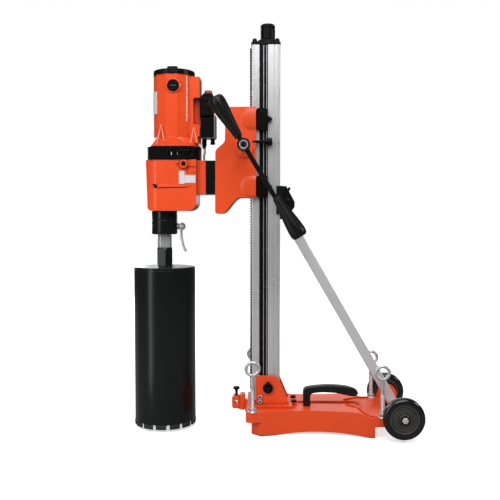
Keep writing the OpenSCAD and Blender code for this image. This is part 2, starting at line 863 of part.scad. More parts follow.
module shaft_bearings() {
    color("silver") {
        translate([motor_x, 0, ring_z - 8]) ring(16, 6 + running, 14);
        translate([motor_x, 0, 1008]) ring(13, 6 + running, 10);
        translate([0, 0, gearbox_z + 2]) ring(26, shaft_r + running, 16);
        translate([0, 0, carrier_z]) ring(21, 12.5 + running, 11);
        translate([lay_x, lay_y, 632]) ring(11, 5 + running, 10);
        translate([lay_x, lay_y, carrier_z]) ring(13, 5 + running, 10);
    }
}

module layshaft() {
    color(zinc) translate([lay_x, lay_y, 0]) {
        translate([0, 0, 633]) cylinder(r = 5, h = 121);
        translate([0, 0, out_gear_z]) rotate(out_angle + 180 + 180 / lay_pinion_teeth)
            linear_extrude(18) gear_outline(out_module, lay_pinion_teeth);
        translate([0, 0, lay_gear_z]) rotate(motor_angle) linear_extrude(12) gear_outline(lay_module, lay_teeth);
    }
}

module output_gear() {
    color(zinc) translate([0, 0, out_gear_z + 1]) rotate(out_angle) difference() {
        linear_extrude(15) gear_outline(out_module, out_teeth);
        translate([0, 0, -1]) cylinder(r = shaft_r, h = 17);
    }
}

// ---------- spindle, water feed and core bit ----------

module spindle() {
    color("silver") difference() {
        union() {
            translate([0, 0, 488]) cylinder(r = thread_r, h = 30);
            intersection() {
                translate([0, 0, hub_top + 0.2]) cylinder(r = spindle_r, h = flats_top - hub_top - 0.2);
                translate([-30, -18, 500]) cube([60, 36, 60]);
            }
            translate([0, 0, flats_top - 1]) cylinder(r = shaft_r, h = 738 - flats_top);
            translate([0, 0, 730]) cylinder(r = 12.5, h = 25);
        }
        translate([0, 0, 480]) cylinder(r = 5, h = 110);
        translate([0, 0, water_z]) bar_x(4, -20, 20);
    }
}

module water_collar() {
    color(black) difference() {
        translate([0, 0, collar_z]) cylinder(r = collar_r, h = gearbox_z - collar_z);
        translate([0, 0, collar_z - 1]) cylinder(r = 20, h = gearbox_z - collar_z + 2);
        translate([0, 0, water_z]) bar_x(5, 10, 50);
    }
}

module water_seals() {
    color([0.15, 0.15, 0.15]) for (z = [collar_z + 4, 592]) translate([0, 0, z])
        ring(20, shaft_r + running, 9);
}

module water_valve() {
    color("silver") translate([0, 0, water_z]) difference() {
        union() {
            bar_x(6, collar_r, 46);
            bar_x(9, collar_r, 42);
            translate([51, 0, 0]) sphere(r = 11);
            translate([51, 0, 0]) bar_y(9.5, -12, 10);
            translate([51, 0, 0]) bar_y(5, 8, 40);
            for (y = [22, 28, 34]) translate([51, y, 0]) rotate([-90, 0, 0]) cylinder(r1 = 6.2, r2 = 5, h = 5);
        }
        bar_x(3, 30, 51);
        translate([51, 0, 0]) bar_y(3, 0, 41);
        translate([51, 0, 0]) bar_y(3 + running, -13, -6.5);
    }
}

// Steel lever of the water valve, hanging down and slightly rearward
module valve_lever() {
    color("silver") translate([51, 0, water_z]) {
        bar_y(7.5, -17.5, -12.3);
        bar_y(3, -13, -7);
        plate_xz(-16, -13) polygon([[-5, -5], [-3, -30], [1, -50], [7, -72], [10, -76], [17, -74],
            [18, -68], [11, -48], [6, -28], [5, -5]]);
    }
}

module switch_box() {
    color(black) difference() {
        union() {
            translate([107, -33, 831]) cube([45, 52, 126]);
            translate([112, -30, 957]) cube([36, 46, 8]);
            translate([141, 8, 815]) cylinder(r = 7, h = 17);
        }
        translate([111, -29, 835]) cube([37, 44, 118]);
        translate([130, -7, 950]) cylinder(r = 12, h = 20);
        translate([118, -8, 828]) cylinder(r = 5, h = 10);
        translate([141, 8, 814]) cylinder(r = 4, h = 12);
    }
}

module switch_button() {
    color("red") translate([130, -7, 0]) {
        translate([0, 0, 948]) cylinder(r = 11.5, h = 20);
        translate([0, 0, 948]) cylinder(r = 14, h = 4.5);
    }
}

// Gland and cable from the switch box down into the gearbox flange
module motor_cable() {
    color([0.6, 0.6, 0.6]) translate([118, -8, 0]) {
        translate([0, 0, 806]) cylinder(r = 7, h = 24.7);
        translate([0, 0, 765.3]) cylinder(r = 3.5, h = 70);
    }
}

module core_bit() {
    color(black) {
        difference() {
            translate([0, 0, segment_h]) cylinder(r = barrel_r, h = hub_z - segment_h);
            translate([0, 0, -1]) cylinder(r = bit_bore_r, h = bit_depth + 1);
            translate([0, 0, bit_depth - 1]) cylinder(r = 8, h = 20);
        }
        difference() {
            union() {
                translate([0, 0, hub_z - 1]) cylinder(r = hub_r, h = hub_top - hub_z - 4);
                translate([0, 0, hub_top - 5]) cylinder(r1 = hub_r, r2 = hub_r - 3, h = 5);
            }
            translate([0, 0, 487.8]) cylinder(r = thread_r, h = 40);
            translate([0, 0, bit_depth]) cylinder(r = 8, h = 60);
        }
        difference() {
            ring(bit_r, bit_bore_r, segment_h + 2);
            for (i = [0:segment_count - 1]) rotate(i * 360 / segment_count)
                translate([bit_bore_r - 2, -2.5, -1]) cube([10, 5, 11]);
        }
    }
}

base_casting();
foot_bracket();
foot_bolts();
column_pivot_bolt();
column_lock_screws();
carry_handle();
levelling_nuts();
axle();
axle_nuts();
accessory_clamp();
accessory_screw();
levelling_screw_1();
levelling_screw_2();
levelling_screw_3();
levelling_screw_4();
wheel_near_hub();
wheel_near_tyre();
wheel_far_hub();
wheel_far_tyre();
brace_tube();
brace_clamp();
brace_clamp_lever();
column_profile();
column_foot_block();
column_rack();
guide_strips();
column_cap();
jack_screw();
carriage_casting();
guide_shoes();
shoe_bolts();
carriage_lock_screw();
pinion_bushes();
feed_pinion();
crank_hub();
crank_bar();
crank_grips();
motor_spacer();
gearbox_housing();
gearbox_plug();
gear_selector();
vent_ring();
motor_housing();
motor_cap();
brush_caps();
carbon_brushes();
stator();
armature();
shaft_bearings();
layshaft();
output_gear();
spindle();
water_collar();
water_seals();
water_valve();
valve_lever();
switch_box();
switch_button();
motor_cable();
core_bit();
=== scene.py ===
"""Looks of the core drill rig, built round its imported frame.

Metres, +Z up, drill axis at the origin. Shapes are made in millimetres and scaled when a piece is added."""

import json
import math

import bmesh
import bpy
from mathutils import Matrix, Vector


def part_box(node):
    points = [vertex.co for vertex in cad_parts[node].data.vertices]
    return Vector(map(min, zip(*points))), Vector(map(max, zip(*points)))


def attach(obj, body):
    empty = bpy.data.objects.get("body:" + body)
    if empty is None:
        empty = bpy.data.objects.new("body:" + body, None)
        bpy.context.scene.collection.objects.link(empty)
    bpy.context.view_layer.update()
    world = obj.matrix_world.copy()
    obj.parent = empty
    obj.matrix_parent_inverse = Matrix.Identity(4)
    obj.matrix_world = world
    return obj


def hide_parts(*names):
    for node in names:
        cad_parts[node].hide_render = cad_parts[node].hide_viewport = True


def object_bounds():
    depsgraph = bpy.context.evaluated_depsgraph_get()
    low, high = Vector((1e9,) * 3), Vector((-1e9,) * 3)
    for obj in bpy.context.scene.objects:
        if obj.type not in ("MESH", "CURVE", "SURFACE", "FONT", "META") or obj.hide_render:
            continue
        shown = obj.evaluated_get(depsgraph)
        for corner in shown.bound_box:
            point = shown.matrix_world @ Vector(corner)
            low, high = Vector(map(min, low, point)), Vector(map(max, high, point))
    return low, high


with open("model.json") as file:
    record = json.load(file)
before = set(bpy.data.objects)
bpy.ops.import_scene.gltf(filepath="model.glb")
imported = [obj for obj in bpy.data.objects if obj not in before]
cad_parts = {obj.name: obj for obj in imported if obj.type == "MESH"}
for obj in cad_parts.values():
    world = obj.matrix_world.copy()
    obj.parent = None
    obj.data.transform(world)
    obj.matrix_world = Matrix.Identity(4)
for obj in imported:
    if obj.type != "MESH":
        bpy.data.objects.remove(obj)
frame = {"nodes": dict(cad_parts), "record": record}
cad_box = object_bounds()
MM = 0.001
TURN = 2 * math.pi
X, Y, Z = Vector((1, 0, 0)), Vector((0, 1, 0)), Vector((0, 0, 1))
NEAR, FAR = -1, 1
WHITE = (1, 1, 1)


# ---------- camera, light and floor ----------

# The camera's place in metres, its tilt in degrees, its heading in radians and its lens in millimetres
CAMERA_PLACE = (0.3037, -1.9898, 0.6005)
CAMERA_TILT_DOWN = 2.66
CAMERA_HEADING = 0.027
LENS = 49.11
# How bright the room looks, how brightly it lights the object, and the floor's own glow under the object
ROOM_SEEN = 1.0
ROOM_GLOW = 0.09
FLOOR_GLOW = 0.6
FLOOR_HALF = 14
FLOOR_GAP = 0.5 * MM


def add_camera():
    """Level with the middle of the column, square to the side with the crank."""
    data = bpy.data.cameras.new("camera")
    data.lens = LENS
    data.sensor_width = 36
    data.clip_end = 60
    camera = bpy.data.objects.new("camera", data)
    camera.location = CAMERA_PLACE
    camera.rotation_euler = (math.radians(90 - CAMERA_TILT_DOWN), 0, CAMERA_HEADING)
    bpy.context.scene.collection.objects.link(camera)
    bpy.context.scene.camera = camera


def add_light(name, place, target, size, power):
    """A soft rectangular light, size (wide, high) metres, that faces target."""
    data = bpy.data.lights.new(name, "AREA")
    data.shape = "RECTANGLE"
    data.size, data.size_y = size
    data.energy = power
    light = bpy.data.objects.new(name, data)
    light.location = place
    light.rotation_euler = (Vector(target) - Vector(place)).to_track_quat("-Z", "Y").to_euler()
    light.visible_camera = False
    bpy.context.scene.collection.objects.link(light)


def add_lights():
    """Broad soft lights in front and above, weaker ones behind, and narrow ones for the sheens."""
    middle = (0.3, 0, 0.6)
    add_light("soft_left", (-1.7, -2.1, 1.5), middle, (0.9, 2.2), 30)
    add_light("side_right", (2.9, -0.7, 1.65), middle, (0.7, 0.7), 20)
    add_light("front_high", (0.4, -2.5, 3.6), middle, (3.2, 1.6), 100)
    add_light("column_sheen", (0.4, -2.6, 2.0), (0.3, 0, 1.1), (1.8, 0.6), 14)
    add_light("rear", (-1.2, 2.8, 1.5), middle, (1.4, 2.2), 40)
    add_light("rear_low", (0.5, 2.3, 0.75), (0.5, 0, 0.05), (2.4, 0.5), 3.6)
    add_light("top", (0.3, 0.4, 3.4), middle, (2.6, 2.6), 24)
    # A tall strip close to the bit, which shows as a sheen on its left
    add_light("bit_strip", (-0.42, -0.44, 0.2), (0, 0, 0.2), (0.13, 0.6), 0.8)


def add_world():
    """A room that looks white and lights the object a little less brightly than it looks."""
    world = bpy.data.worlds.new("studio")
    world.use_nodes = True
    tree = world.node_tree
    seen = add_node(tree, "LightPath").outputs["Is Camera Ray"]
    glow = add_node(tree, "MapRange", {"Value": seen, "To Min": ROOM_GLOW, "To Max": ROOM_SEEN})
    tree.nodes["Background"].inputs["Color"].default_value = (1, 1, 1, 1)
    tree.links.new(glow.outputs[0], tree.nodes["Background"].inputs["Strength"])
    bpy.context.scene.world = world


def add_floor():
    """A wide pale floor, just under the feet, that is not part of the object."""
    mesh = bpy.data.meshes.new("floor")
    level = cad_box[0][2] - FLOOR_GAP
    corners = [(FLOOR_HALF * a, FLOOR_HALF * b, level) for a, b in ((-1, -1), (1, -1), (1, 1), (-1, 1))]
    mesh.from_pydata(corners, [], [(0, 1, 2, 3)])
    floor = bpy.data.objects.new("floor", mesh)
    bpy.context.scene.collection.objects.link(floor)
    material, tree, shader = principled("floor_white", {"Roughness": 0.9, "Emission Color": (1, 1, 1, 1)})
    seen = add_node(tree, "LightPath").outputs["Is Camera Ray"]
    spot = add_node(tree, "NewGeometry").outputs["Position"]
    reach = add_node(tree, "VectorMath", {0: spot}, operation="LENGTH")
    fade = add_node(tree, "MapRange", {"Value": reach.outputs["Value"], "From Min": 0.9, "From Max": 2.6,
                                       "To Min": FLOOR_GLOW, "To Max": 1.0})
    glow = add_node(tree, "Math", {0: seen, 1: fade.outputs[0]}, operation="MULTIPLY")
    tree.links.new(glow.outputs[0], shader.inputs["Emission Strength"])
    noise = add_node(tree, "TexNoise", {"Scale": 3.0, "Detail": 3.0})
    pale = add_node(tree, "MixRGB", {"Fac": noise.outputs["Fac"], "Color1": rgba(WHITE, 0.86),
                                     "Color2": rgba(WHITE, 0.88)})
    mix = add_node(tree, "MixRGB", {"Fac": seen, "Color1": rgba(WHITE, 0.3), "Color2": pale.outputs[0]})
    tree.links.new(mix.outputs[0], shader.inputs["Base Color"])
    floor.data.materials.append(material)


# ---------- materials ----------

def add_node(tree, kind, links=None, **settings):
    """A shader node with its settings, whose inputs take a value or another node's output."""
    node = tree.nodes.new("ShaderNode" + kind)
    for key, value in settings.items():
        setattr(node, key, value)
    for socket, value in (links or {}).items():
        if isinstance(value, bpy.types.NodeSocket):
            tree.links.new(value, node.inputs[socket])
        else:
            node.inputs[socket].default_value = value
    return node


def principled(name, sockets):
    """A new material with constant values on its shader's sockets."""
    material = bpy.data.materials.new(name)
    material.use_nodes = True
    tree = material.node_tree
    shader = tree.nodes["Principled BSDF"]
    for socket, value in sockets.items():
        shader.inputs[socket].default_value = value
    return material, tree, shader


def rgba(colour, factor=1.0):
    """A colour, made lighter or darker, with full alpha."""
    return (colour[0] * factor, colour[1] * factor, colour[2] * factor, 1)


def surface(name, colour, roughness, grain, bump, blotch=12.0, contrast=0.08, stretch=(1, 1, 1),
            metallic=0.0, coat=0.0, coat_roughness=0.05, edge=None, corner_shade=0.0, specular=0.5):
    """A finish with colour blotches, uneven roughness, a grain bump, worn edges and painted shade in corners.

    roughness is (least, most), grain the grain's frequency per metre, bump its height in metres, stretch the
    grain's shape along X, Y and Z, edge the colour that shows on worn edges, corner_shade how dark the
    painted shade in corners gets."""
    material, tree, shader = principled(name, {
        "Metallic": metallic, "Coat Weight": coat, "Coat Roughness": coat_roughness,
        "Specular IOR Level": specular})
    place = add_node(tree, "TexCoord").outputs["Object"]
    wide = add_node(tree, "TexNoise", {"Vector": place, "Scale": blotch, "Detail": 4.0, "Roughness": 0.6})
    shaped = add_node(tree, "Mapping", {"Vector": place, "Scale": stretch})
    fine = add_node(tree, "TexNoise", {"Vector": shaped.outputs[0], "Scale": grain, "Detail": 3.0})
    base = add_node(tree, "MixRGB", {"Fac": wide.outputs["Fac"], "Color1": rgba(colour, 1 - contrast),
                                     "Color2": rgba(colour, 1 + contrast)})
    streak = add_node(tree, "MapRange", {"Value": fine.outputs["Fac"], "From Min": 0.3, "From Max": 0.7,
                                         "To Min": 1 - contrast, "To Max": 1 + contrast})
    tone = add_node(tree, "HueSaturation", {"Value": streak.outputs[0], "Color": base.outputs[0]})
    last = tone.outputs[0]
    if edge:
        flat = add_node(tree, "NewGeometry").outputs["Normal"]
        rounded_off = add_node(tree, "Bevel", {"Radius": 0.001}, samples=4).outputs["Normal"]
        sharp = add_node(tree, "VectorMath", {0: flat, 1: rounded_off}, operation="DOT_PRODUCT")
        worn = add_node(tree, "MapRange", {"Value": sharp.outputs["Value"], "From Min": 0.985,
                                           "From Max": 0.9})
        broken = add_node(tree, "Math", {0: worn.outputs[0], 1: wide.outputs["Fac"]}, operation="MULTIPLY")
        mix = add_node(tree, "MixRGB", {"Fac": broken.outputs[0], "Color1": last, "Color2": rgba(edge)})
        last = mix.outputs[0]
    # Painted shade: the colour darkens where ambient occlusion finds corners and hollows
    if corner_shade:
        corner = add_node(tree, "AmbientOcclusion", {"Distance": 0.012}, samples=6)
        shade = add_node(tree, "MapRange", {"Value": corner.outputs["AO"], "From Min": 0.35, "From Max": 0.9,
                                            "To Min": 1 - corner_shade, "To Max": 1.0})
        last = add_node(tree, "HueSaturation", {"Value": shade.outputs[0], "Color": last}).outputs[0]
    tree.links.new(last, shader.inputs["Base Color"])
    rough = add_node(tree, "MapRange", {"Value": wide.outputs["Fac"], "From Min": 0.3, "From Max": 0.7,
                                        "To Min": roughness[0], "To Max": roughness[1]})
    tree.links.new(rough.outputs[0], shader.inputs["Roughness"])
    relief = add_node(tree, "Bump", {"Height": fine.outputs["Fac"], "Distance": bump, "Strength": 1.0})
    tree.links.new(relief.outputs[0], shader.inputs["Normal"])
    return material


ORANGE = (0.84, 0.078, 0.014)

# The finish of each material slot, and below it the finishes that only some pieces have
FINISH = {
    "orange_enamel": surface("orange_enamel", ORANGE, (0.24, 0.34), 700, 1.2e-5, contrast=0.03, coat=0.7,
                             coat_roughness=0.04, corner_shade=0.45, specular=0.3),
    "black_paint": surface("black_paint", (0.005, 0.0072, 0.0066), (0.2, 0.26), 1400, 1e-5, contrast=0.12,
                           edge=(0.02, 0.024, 0.023), specular=0.25),
    "black_steel": surface("black_steel", (0.005, 0.005, 0.005), (0.28, 0.42), 1500, 2e-5, contrast=0.2,
                           edge=(0.04, 0.04, 0.04), specular=0.08),
    "zinc_steel": surface("zinc_steel", (0.62, 0.63, 0.65), (0.28, 0.42), 700, 3e-5, blotch=40, contrast=0.14,
                          metallic=0.8, edge=(0.7, 0.7, 0.72), corner_shade=0.5),
    "bright_chrome": surface("bright_chrome", (0.7, 0.69, 0.7), (0.12, 0.24), 500, 4e-6, contrast=0.06,
                             metallic=0.65, corner_shade=0.4),
    "anodised_aluminium": surface("anodised_aluminium", (0.6, 0.59, 0.6), (0.26, 0.34), 60, 4e-6,
                                  stretch=(40, 40, 0.6), contrast=0.04, metallic=0.5),
    "gear_steel": surface("gear_steel", (0.42, 0.42, 0.43), (0.28, 0.4), 800, 2e-5, contrast=0.1,
                          metallic=1.0),
    "bearing_bronze": surface("bearing_bronze", (0.55, 0.35, 0.14), (0.3, 0.42), 800, 2e-5, contrast=0.1,
                              metallic=1.0),
    "black_plastic": surface("black_plastic", (0.005, 0.005, 0.005), (0.22, 0.3), 2200, 2e-5, contrast=0.12,
                             edge=(0.025, 0.025, 0.025), specular=0.08),
    "grip_plastic": surface("grip_plastic", (0.006, 0.006, 0.006), (0.26, 0.36), 2600, 2e-5, contrast=0.1,
                            specular=0.22),
    "red_plastic": surface("red_plastic", (0.3, 0.014, 0.03), (0.2, 0.3), 1500, 2e-5, contrast=0.06,
                           coat=0.5),
    "grey_cable": surface("grey_cable", (0.4, 0.4, 0.4), (0.5, 0.62), 1500, 4e-5, contrast=0.08),
    "seal_rubber": surface("seal_rubber", (0.02, 0.02, 0.02), (0.6, 0.7), 1500, 4e-5),
    "wheel_rubber": surface("wheel_rubber", (0.005, 0.005, 0.005), (0.14, 0.22), 1600, 1e-5, contrast=0.15,
                            specular=0.45),
    "hub_plastic": surface("hub_plastic", (0.055, 0.054, 0.05), (0.34, 0.46), 1500, 4e-5, contrast=0.15,
                           corner_shade=0.6, specular=0.3),
    "carbon": surface("carbon", (0.05, 0.05, 0.055), (0.5, 0.6), 1500, 4e-5),
    "brace_paint": surface("brace_paint", (0.66, 0.66, 0.67), (0.26, 0.38), 500, 2e-5, contrast=0.05,
                           metallic=0.4, corner_shade=0.25),
}
CAST = surface("cast_enamel", ORANGE, (0.32, 0.42), 600, 2.5e-5, contrast=0.035, coat=0.25,
               coat_roughness=0.16, corner_shade=0.5, specular=0.3)
LABEL = surface("blank_label", (0.68, 0.67, 0.68), (0.4, 0.5), 900, 1e-5, contrast=0.05)
GRIT = surface("diamond_grit", (0.012, 0.014, 0.013), (0.55, 0.7), 3800, 1.4e-4, contrast=0.4,
               edge=(0.06, 0.06, 0.06))
# A paler orange painted on the motor's ribs and edge strips as highlights
HIGHLIGHT_ENAMEL = surface("painted_highlight_enamel", (0.9, 0.34, 0.24), (0.24, 0.34), 700, 1.2e-5, contrast=0.03, coat=0.7,
                coat_roughness=0.1)
GREY_PLATE = surface("grey_plate", (0.17, 0.17, 0.175), (0.3, 0.42), 1500, 2e-5, contrast=0.1)
# A near-black fill painted as the shade in slots, sockets and recesses, and as the shadow under the gearbox's
# rib
HOLLOW_SHADE = surface("painted_hollow_shade", (0.006, 0.006, 0.006), (0.5, 0.6), 1500, 2e-5)


# ---------- shape tools, in millimetres ----------

BODY_OF = {n: body for body, nodes in frame["record"]["behaviour"]["bodies"].items() for n in nodes}
SLOT_OF = {s["node"]: s["material_slot"] for s in frame["record"]["subparts"]}
PLANES = {"XY": (X, Y, Z), "XZ": (X, Z, Y), "YZ": (Y, Z, X)}


def span(node):
    """A node's lowest and highest corners at rest."""
    low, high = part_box(node)
    return Vector(low) / MM, Vector(high) / MM


def centre_of(node):
    """The middle of a node's box at rest."""
    low, high = span(node)
    return (low + high) / 2


def turn(bm, profile, centre=(0, 0, 0), axis=Z, steps=64, loop=False):
    """Turns a (radius, height) profile round an axis through centre. A loop profile joins up with itself."""
    across = X if abs(axis.x) < 0.5 else Y
    across = (across - axis * across.dot(axis)).normalized()
    beside = axis.cross(across)
    rings = []
    for radius, height in profile:
        middle = Vector(centre) + axis * height
        if radius == 0:
            rings.append([bm.verts.new(middle)])
            continue
        angles = [TURN * i / steps for i in range(steps)]
        rings.append([bm.verts.new(middle + radius * (math.cos(a) * across + math.sin(a) * beside))
                      for a in angles])
    for low, high in zip(rings, rings[1:] + (rings[:1] if loop else [])):
        for i in range(steps):
            j = (i + 1) % steps
            corners = [low[i % len(low)], low[j % len(low)], high[j % len(high)], high[i % len(high)]]
            corners = list(dict.fromkeys(corners))
            if len(corners) > 2:
                bm.faces.new(corners)
    return bm


def prism(bm, outline, low, high, plane="XY"):
    """An outline in a plane, made solid from low to high across it."""
    u, v, w = PLANES[plane]
    floor, roof = [[bm.verts.new(p[0] * u + p[1] * v + h * w) for p in outline] for h in (low, high)]
    bm.faces.new(floor)
    bm.faces.new(roof)
    for i in range(len(outline)):
        j = (i + 1) % len(outline)
        bm.faces.new([floor[i], floor[j], roof[j], roof[i]])
    return bm


def box(bm, low, high):
    """A block between two corners."""
    corners = [(low[0], low[1]), (high[0], low[1]), (high[0], high[1]), (low[0], high[1])]
    return prism(bm, corners, low[2], high[2])


def arc(centre, radius, start, end, steps=6):
    """Points of an arc, angles in degrees."""
    angles = [math.radians(start + (end - start) * i / steps) for i in range(steps + 1)]
    return [(centre[0] + radius * math.cos(a), centre[1] + radius * math.sin(a)) for a in angles]


def rounded(low, high, radius, steps=4):
    """A rectangle's outline with round corners."""
    left, right = low[0] + radius, high[0] - radius
    bottom, top = low[1] + radius, high[1] - radius
    corners = [(right, bottom), (right, top), (left, top), (left, bottom)]
    outline = []
    for i, corner in enumerate(corners):
        outline += arc(corner, radius, 90 * i - 90, 90 * i, steps)
    return outline


def flow(points, steps=5, loop=False):
    """A smooth curve through points."""
    count = len(points)
    curve = []
    for i in range(count if loop else count - 1):
        if loop:
            p0, p1, p2, p3 = [Vector(points[(i + k) % count]) for k in (-1, 0, 1, 2)]
        else:
            p0, p1, p2, p3 = [Vector(points[min(max(i + k, 0), count - 1)]) for k in (-1, 0, 1, 2)]
        for s in range(steps):
            t = s / steps
            curve.append(0.5 * (2 * p1 + (p2 - p0) * t + (2 * p0 - 5 * p1 + 4 * p2 - p3) * t ** 2
                                + (3 * p1 - p0 - 3 * p2 + p3) * t ** 3))
    return curve if loop else curve + [Vector(points[-1])]


def sweep(bm, path, section, upright=Y, loop=False):
    """Skins the outlines section(i) = [(side, up), ...], set square to a path of points."""
    path = [Vector(p) for p in path]
    count = len(path)
    rings = []
    for i, point in enumerate(path):
        ahead = path[(i + 1) % count] if loop or i < count - 1 else path[i]
        behind = path[i - 1] if loop or i > 0 else path[i]
        along = (ahead - behind).normalized()
        side = upright.cross(along).normalized()
        up = along.cross(side)
        rings.append([bm.verts.new(point + s * side + t * up) for s, t in section(i)])
    pairs = list(zip(rings, rings[1:])) + ([(rings[-1], rings[0])] if loop else [])
    for one, two in pairs:
        for i in range(len(one)):
            j = (i + 1) % len(one)
            bm.faces.new([one[i], one[j], two[j], two[i]])
    if not loop:
        bm.faces.new(rings[0])
        bm.faces.new(rings[-1])
    return bm


def disc(radius, steps=16):
    """Points of a whole circle."""
    return arc((0, 0), radius, 0, 360 * (steps - 1) / steps, steps - 1)


def scaled(outline, wide, high):
    """An outline stretched across and upwards."""
    return [(wide * a, high * b) for a, b in outline]


def place(bm, matrix, start=0):
    """Moves the vertices from number start on."""
    bm.verts.ensure_lookup_table()
    bmesh.ops.transform(bm, matrix=matrix, verts=bm.verts[start:])
    return bm


def combine(bm, tool, operation="DIFFERENCE"):
    """A solid with another solid cut from it, or shared with it."""
    parts = []
    for source in (bm, tool):
        bmesh.ops.recalc_face_normals(source, faces=source.faces)
        mesh = bpy.data.meshes.new("combine")
        source.to_mesh(mesh)
        source.free()
        part = bpy.data.objects.new("combine", mesh)
        bpy.context.scene.collection.objects.link(part)
        parts.append(part)
    cut = parts[0].modifiers.new("cut", "BOOLEAN")
    cut.operation = operation
    cut.solver = "EXACT"
    cut.object = parts[1]
    result = bmesh.new()
    result.from_object(parts[0], bpy.context.evaluated_depsgraph_get())
    for part in parts:
        mesh = part.data
        bpy.data.objects.remove(part)
        bpy.data.meshes.remove(mesh)
    flatten(result)
    return result


def flatten(bm, weld=0.01, angle=0.8):
    """Welds doubled points and joins the faces that lie in one plane."""
    bmesh.ops.remove_doubles(bm, verts=bm.verts, dist=weld)
    bmesh.ops.dissolve_limit(bm, angle_limit=math.radians(angle), verts=bm.verts, edges=bm.edges)
    return bm


def add_piece(name, bm, node, stands_for=(), material=None, slot=None, bevel=0.0, segments=2, angle=32.0):
    """Turns a bmesh in millimetres into a piece with rounded edges that rides on a node's body."""
    bmesh.ops.recalc_face_normals(bm, faces=bm.faces)
    place(bm, Matrix.Scale(MM, 4))
    mesh = bpy.data.meshes.new(name)
    bm.to_mesh(mesh)
    bm.free()
    mesh.shade_smooth()
    mesh.set_sharp_from_angle(angle=math.radians(angle))
    piece = bpy.data.objects.new(name, mesh)
    bpy.context.scene.collection.objects.link(piece)
    slot = slot or SLOT_OF[node]
    mesh.materials.append(material or FINISH[slot])
    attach(piece, BODY_OF[node])
    if stands_for:
        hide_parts(*stands_for)
    if bevel:
        edges = piece.modifiers.new("round_edges", "BEVEL")
        edges.width = bevel * MM
        edges.segments = segments
        edges.limit_method = "ANGLE"
        edges.angle_limit = math.radians(angle)
        edges.use_clamp_overlap = True
    normals = piece.modifiers.new("normals", "WEIGHTED_NORMAL")
    normals.mode = "FACE_AREA"
    normals.weight = 100
    normals.keep_sharp = not bevel
    return piece


def copy_node(node):
    """The CAD node's mesh as a bmesh in millimetres, with its flat faces whole."""
    bm = bmesh.new()
    bm.from_mesh(frame["nodes"][node].data)
    place(bm, Matrix.Scale(1 / MM, 4))
    return flatten(bm)


def soften(node, bevel=0.8, segments=2, angle=32.0, material=None):
    """Shows a CAD node with rounded edges."""
    return add_piece(node + "_skin", copy_node(node), node, [node], material, None, bevel, segments, angle)


# ---------- core bit, spindle and water feed ----------

GULLETS = 14
GULLET_W = 10
GULLET_CROWN_Z = 8.5
SEGMENT_H = 11
HUB_H = 56
HUB_CORNER_R = 24.5


def gullets(rim):
    """Round-topped cutters that divide the rim into segments."""
    bm = bmesh.new()
    half = GULLET_W / 2
    outline = [(-half, -5), (half, -5)] + arc((0, GULLET_CROWN_Z), half, 0, 180)
    for i in range(GULLETS):
        start = len(bm.verts)
        prism(bm, outline, -rim - 5, -rim + 12, "XZ")
        place(bm, Matrix.Rotation(TURN * (i + 0.5) / GULLETS, 4, "Z"), start)
    return bm


def core_bit():
    """Thin black barrel with a plate and a six-sided hub on top, and coarse segments at its mouth."""
    high = span("core_bit")[1]
    rim = high.x
    wall = rim - 1
    bore = rim - 4.5
    plate = high.z - HUB_H
    inner = plate - 8
    barrel = [(bore, SEGMENT_H), (wall, SEGMENT_H), (wall, plate - 9), (wall - 0.5, plate - 8),
              (wall, plate - 7), (wall, plate - 1.6), (wall - 1.6, plate), (30, plate), (27, plate + 1.5),
              (8, plate + 1.5), (8, inner), (bore, inner)]
    shell = combine(turn(bmesh.new(), barrel, steps=128, loop=True), gullets(rim))
    add_piece("core_bit_barrel", shell, "core_bit", ["core_bit"], angle=28, bevel=0.35)
    teeth = [(bore - 0.3, 0), (rim - 0.6, 0), (rim, 0.8), (rim, SEGMENT_H + 0.5), (wall, SEGMENT_H + 1.5),
             (bore - 0.3, SEGMENT_H + 1.5)]
    ring = combine(turn(bmesh.new(), teeth, steps=128, loop=True), gullets(rim))
    add_piece("core_bit_segments", ring, "core_bit", material=GRIT, bevel=0.5, angle=28)
    # The hub's corners are turned off at the top
    corners = arc((0, 0), HUB_CORNER_R, -77, 223, 5)
    hub = prism(bmesh.new(), corners, plate + 1, high.z)
    cone = [(16, plate + 1), (HUB_CORNER_R, plate + 1), (HUB_CORNER_R, high.z - 7), (21, high.z),
            (16, high.z)]
    hub = combine(hub, turn(bmesh.new(), cone, loop=True), "INTERSECT")
    add_piece("core_bit_hub", hub, "core_bit", bevel=0.8)


def water_collar():
    """Grooved black collar with a grease nipple on its front left."""
    low, high = span("water_collar")
    radius = high.x
    bottom, top = low.z, high.z
    profile = [(20, bottom), (radius - 4, bottom), (radius - 1, bottom + 2), (radius, bottom + 5),
               (radius, bottom + 40), (radius - 1, bottom + 41), (radius - 1, bottom + 43),
               (radius, bottom + 44), (radius, top - 1), (radius - 1, top), (20, top)]
    collar = turn(bmesh.new(), profile, steps=96, loop=True)
    add_piece("water_collar_body", collar, "water_collar", ["water_collar"], bevel=0.4)
    axis = Vector((-0.87, -0.5, 0)).normalized()
    foot = axis * (radius - 4) + Z * (bottom + 26)
    nipple = turn(bmesh.new(), [(0, 0), (4, 0), (4, 2), (2.6, 2.6), (2.6, 4), (0, 4.6)], foot, axis, 20)
    add_piece("grease_nipple", nipple, "water_collar", slot="zinc_steel", bevel=0.2)


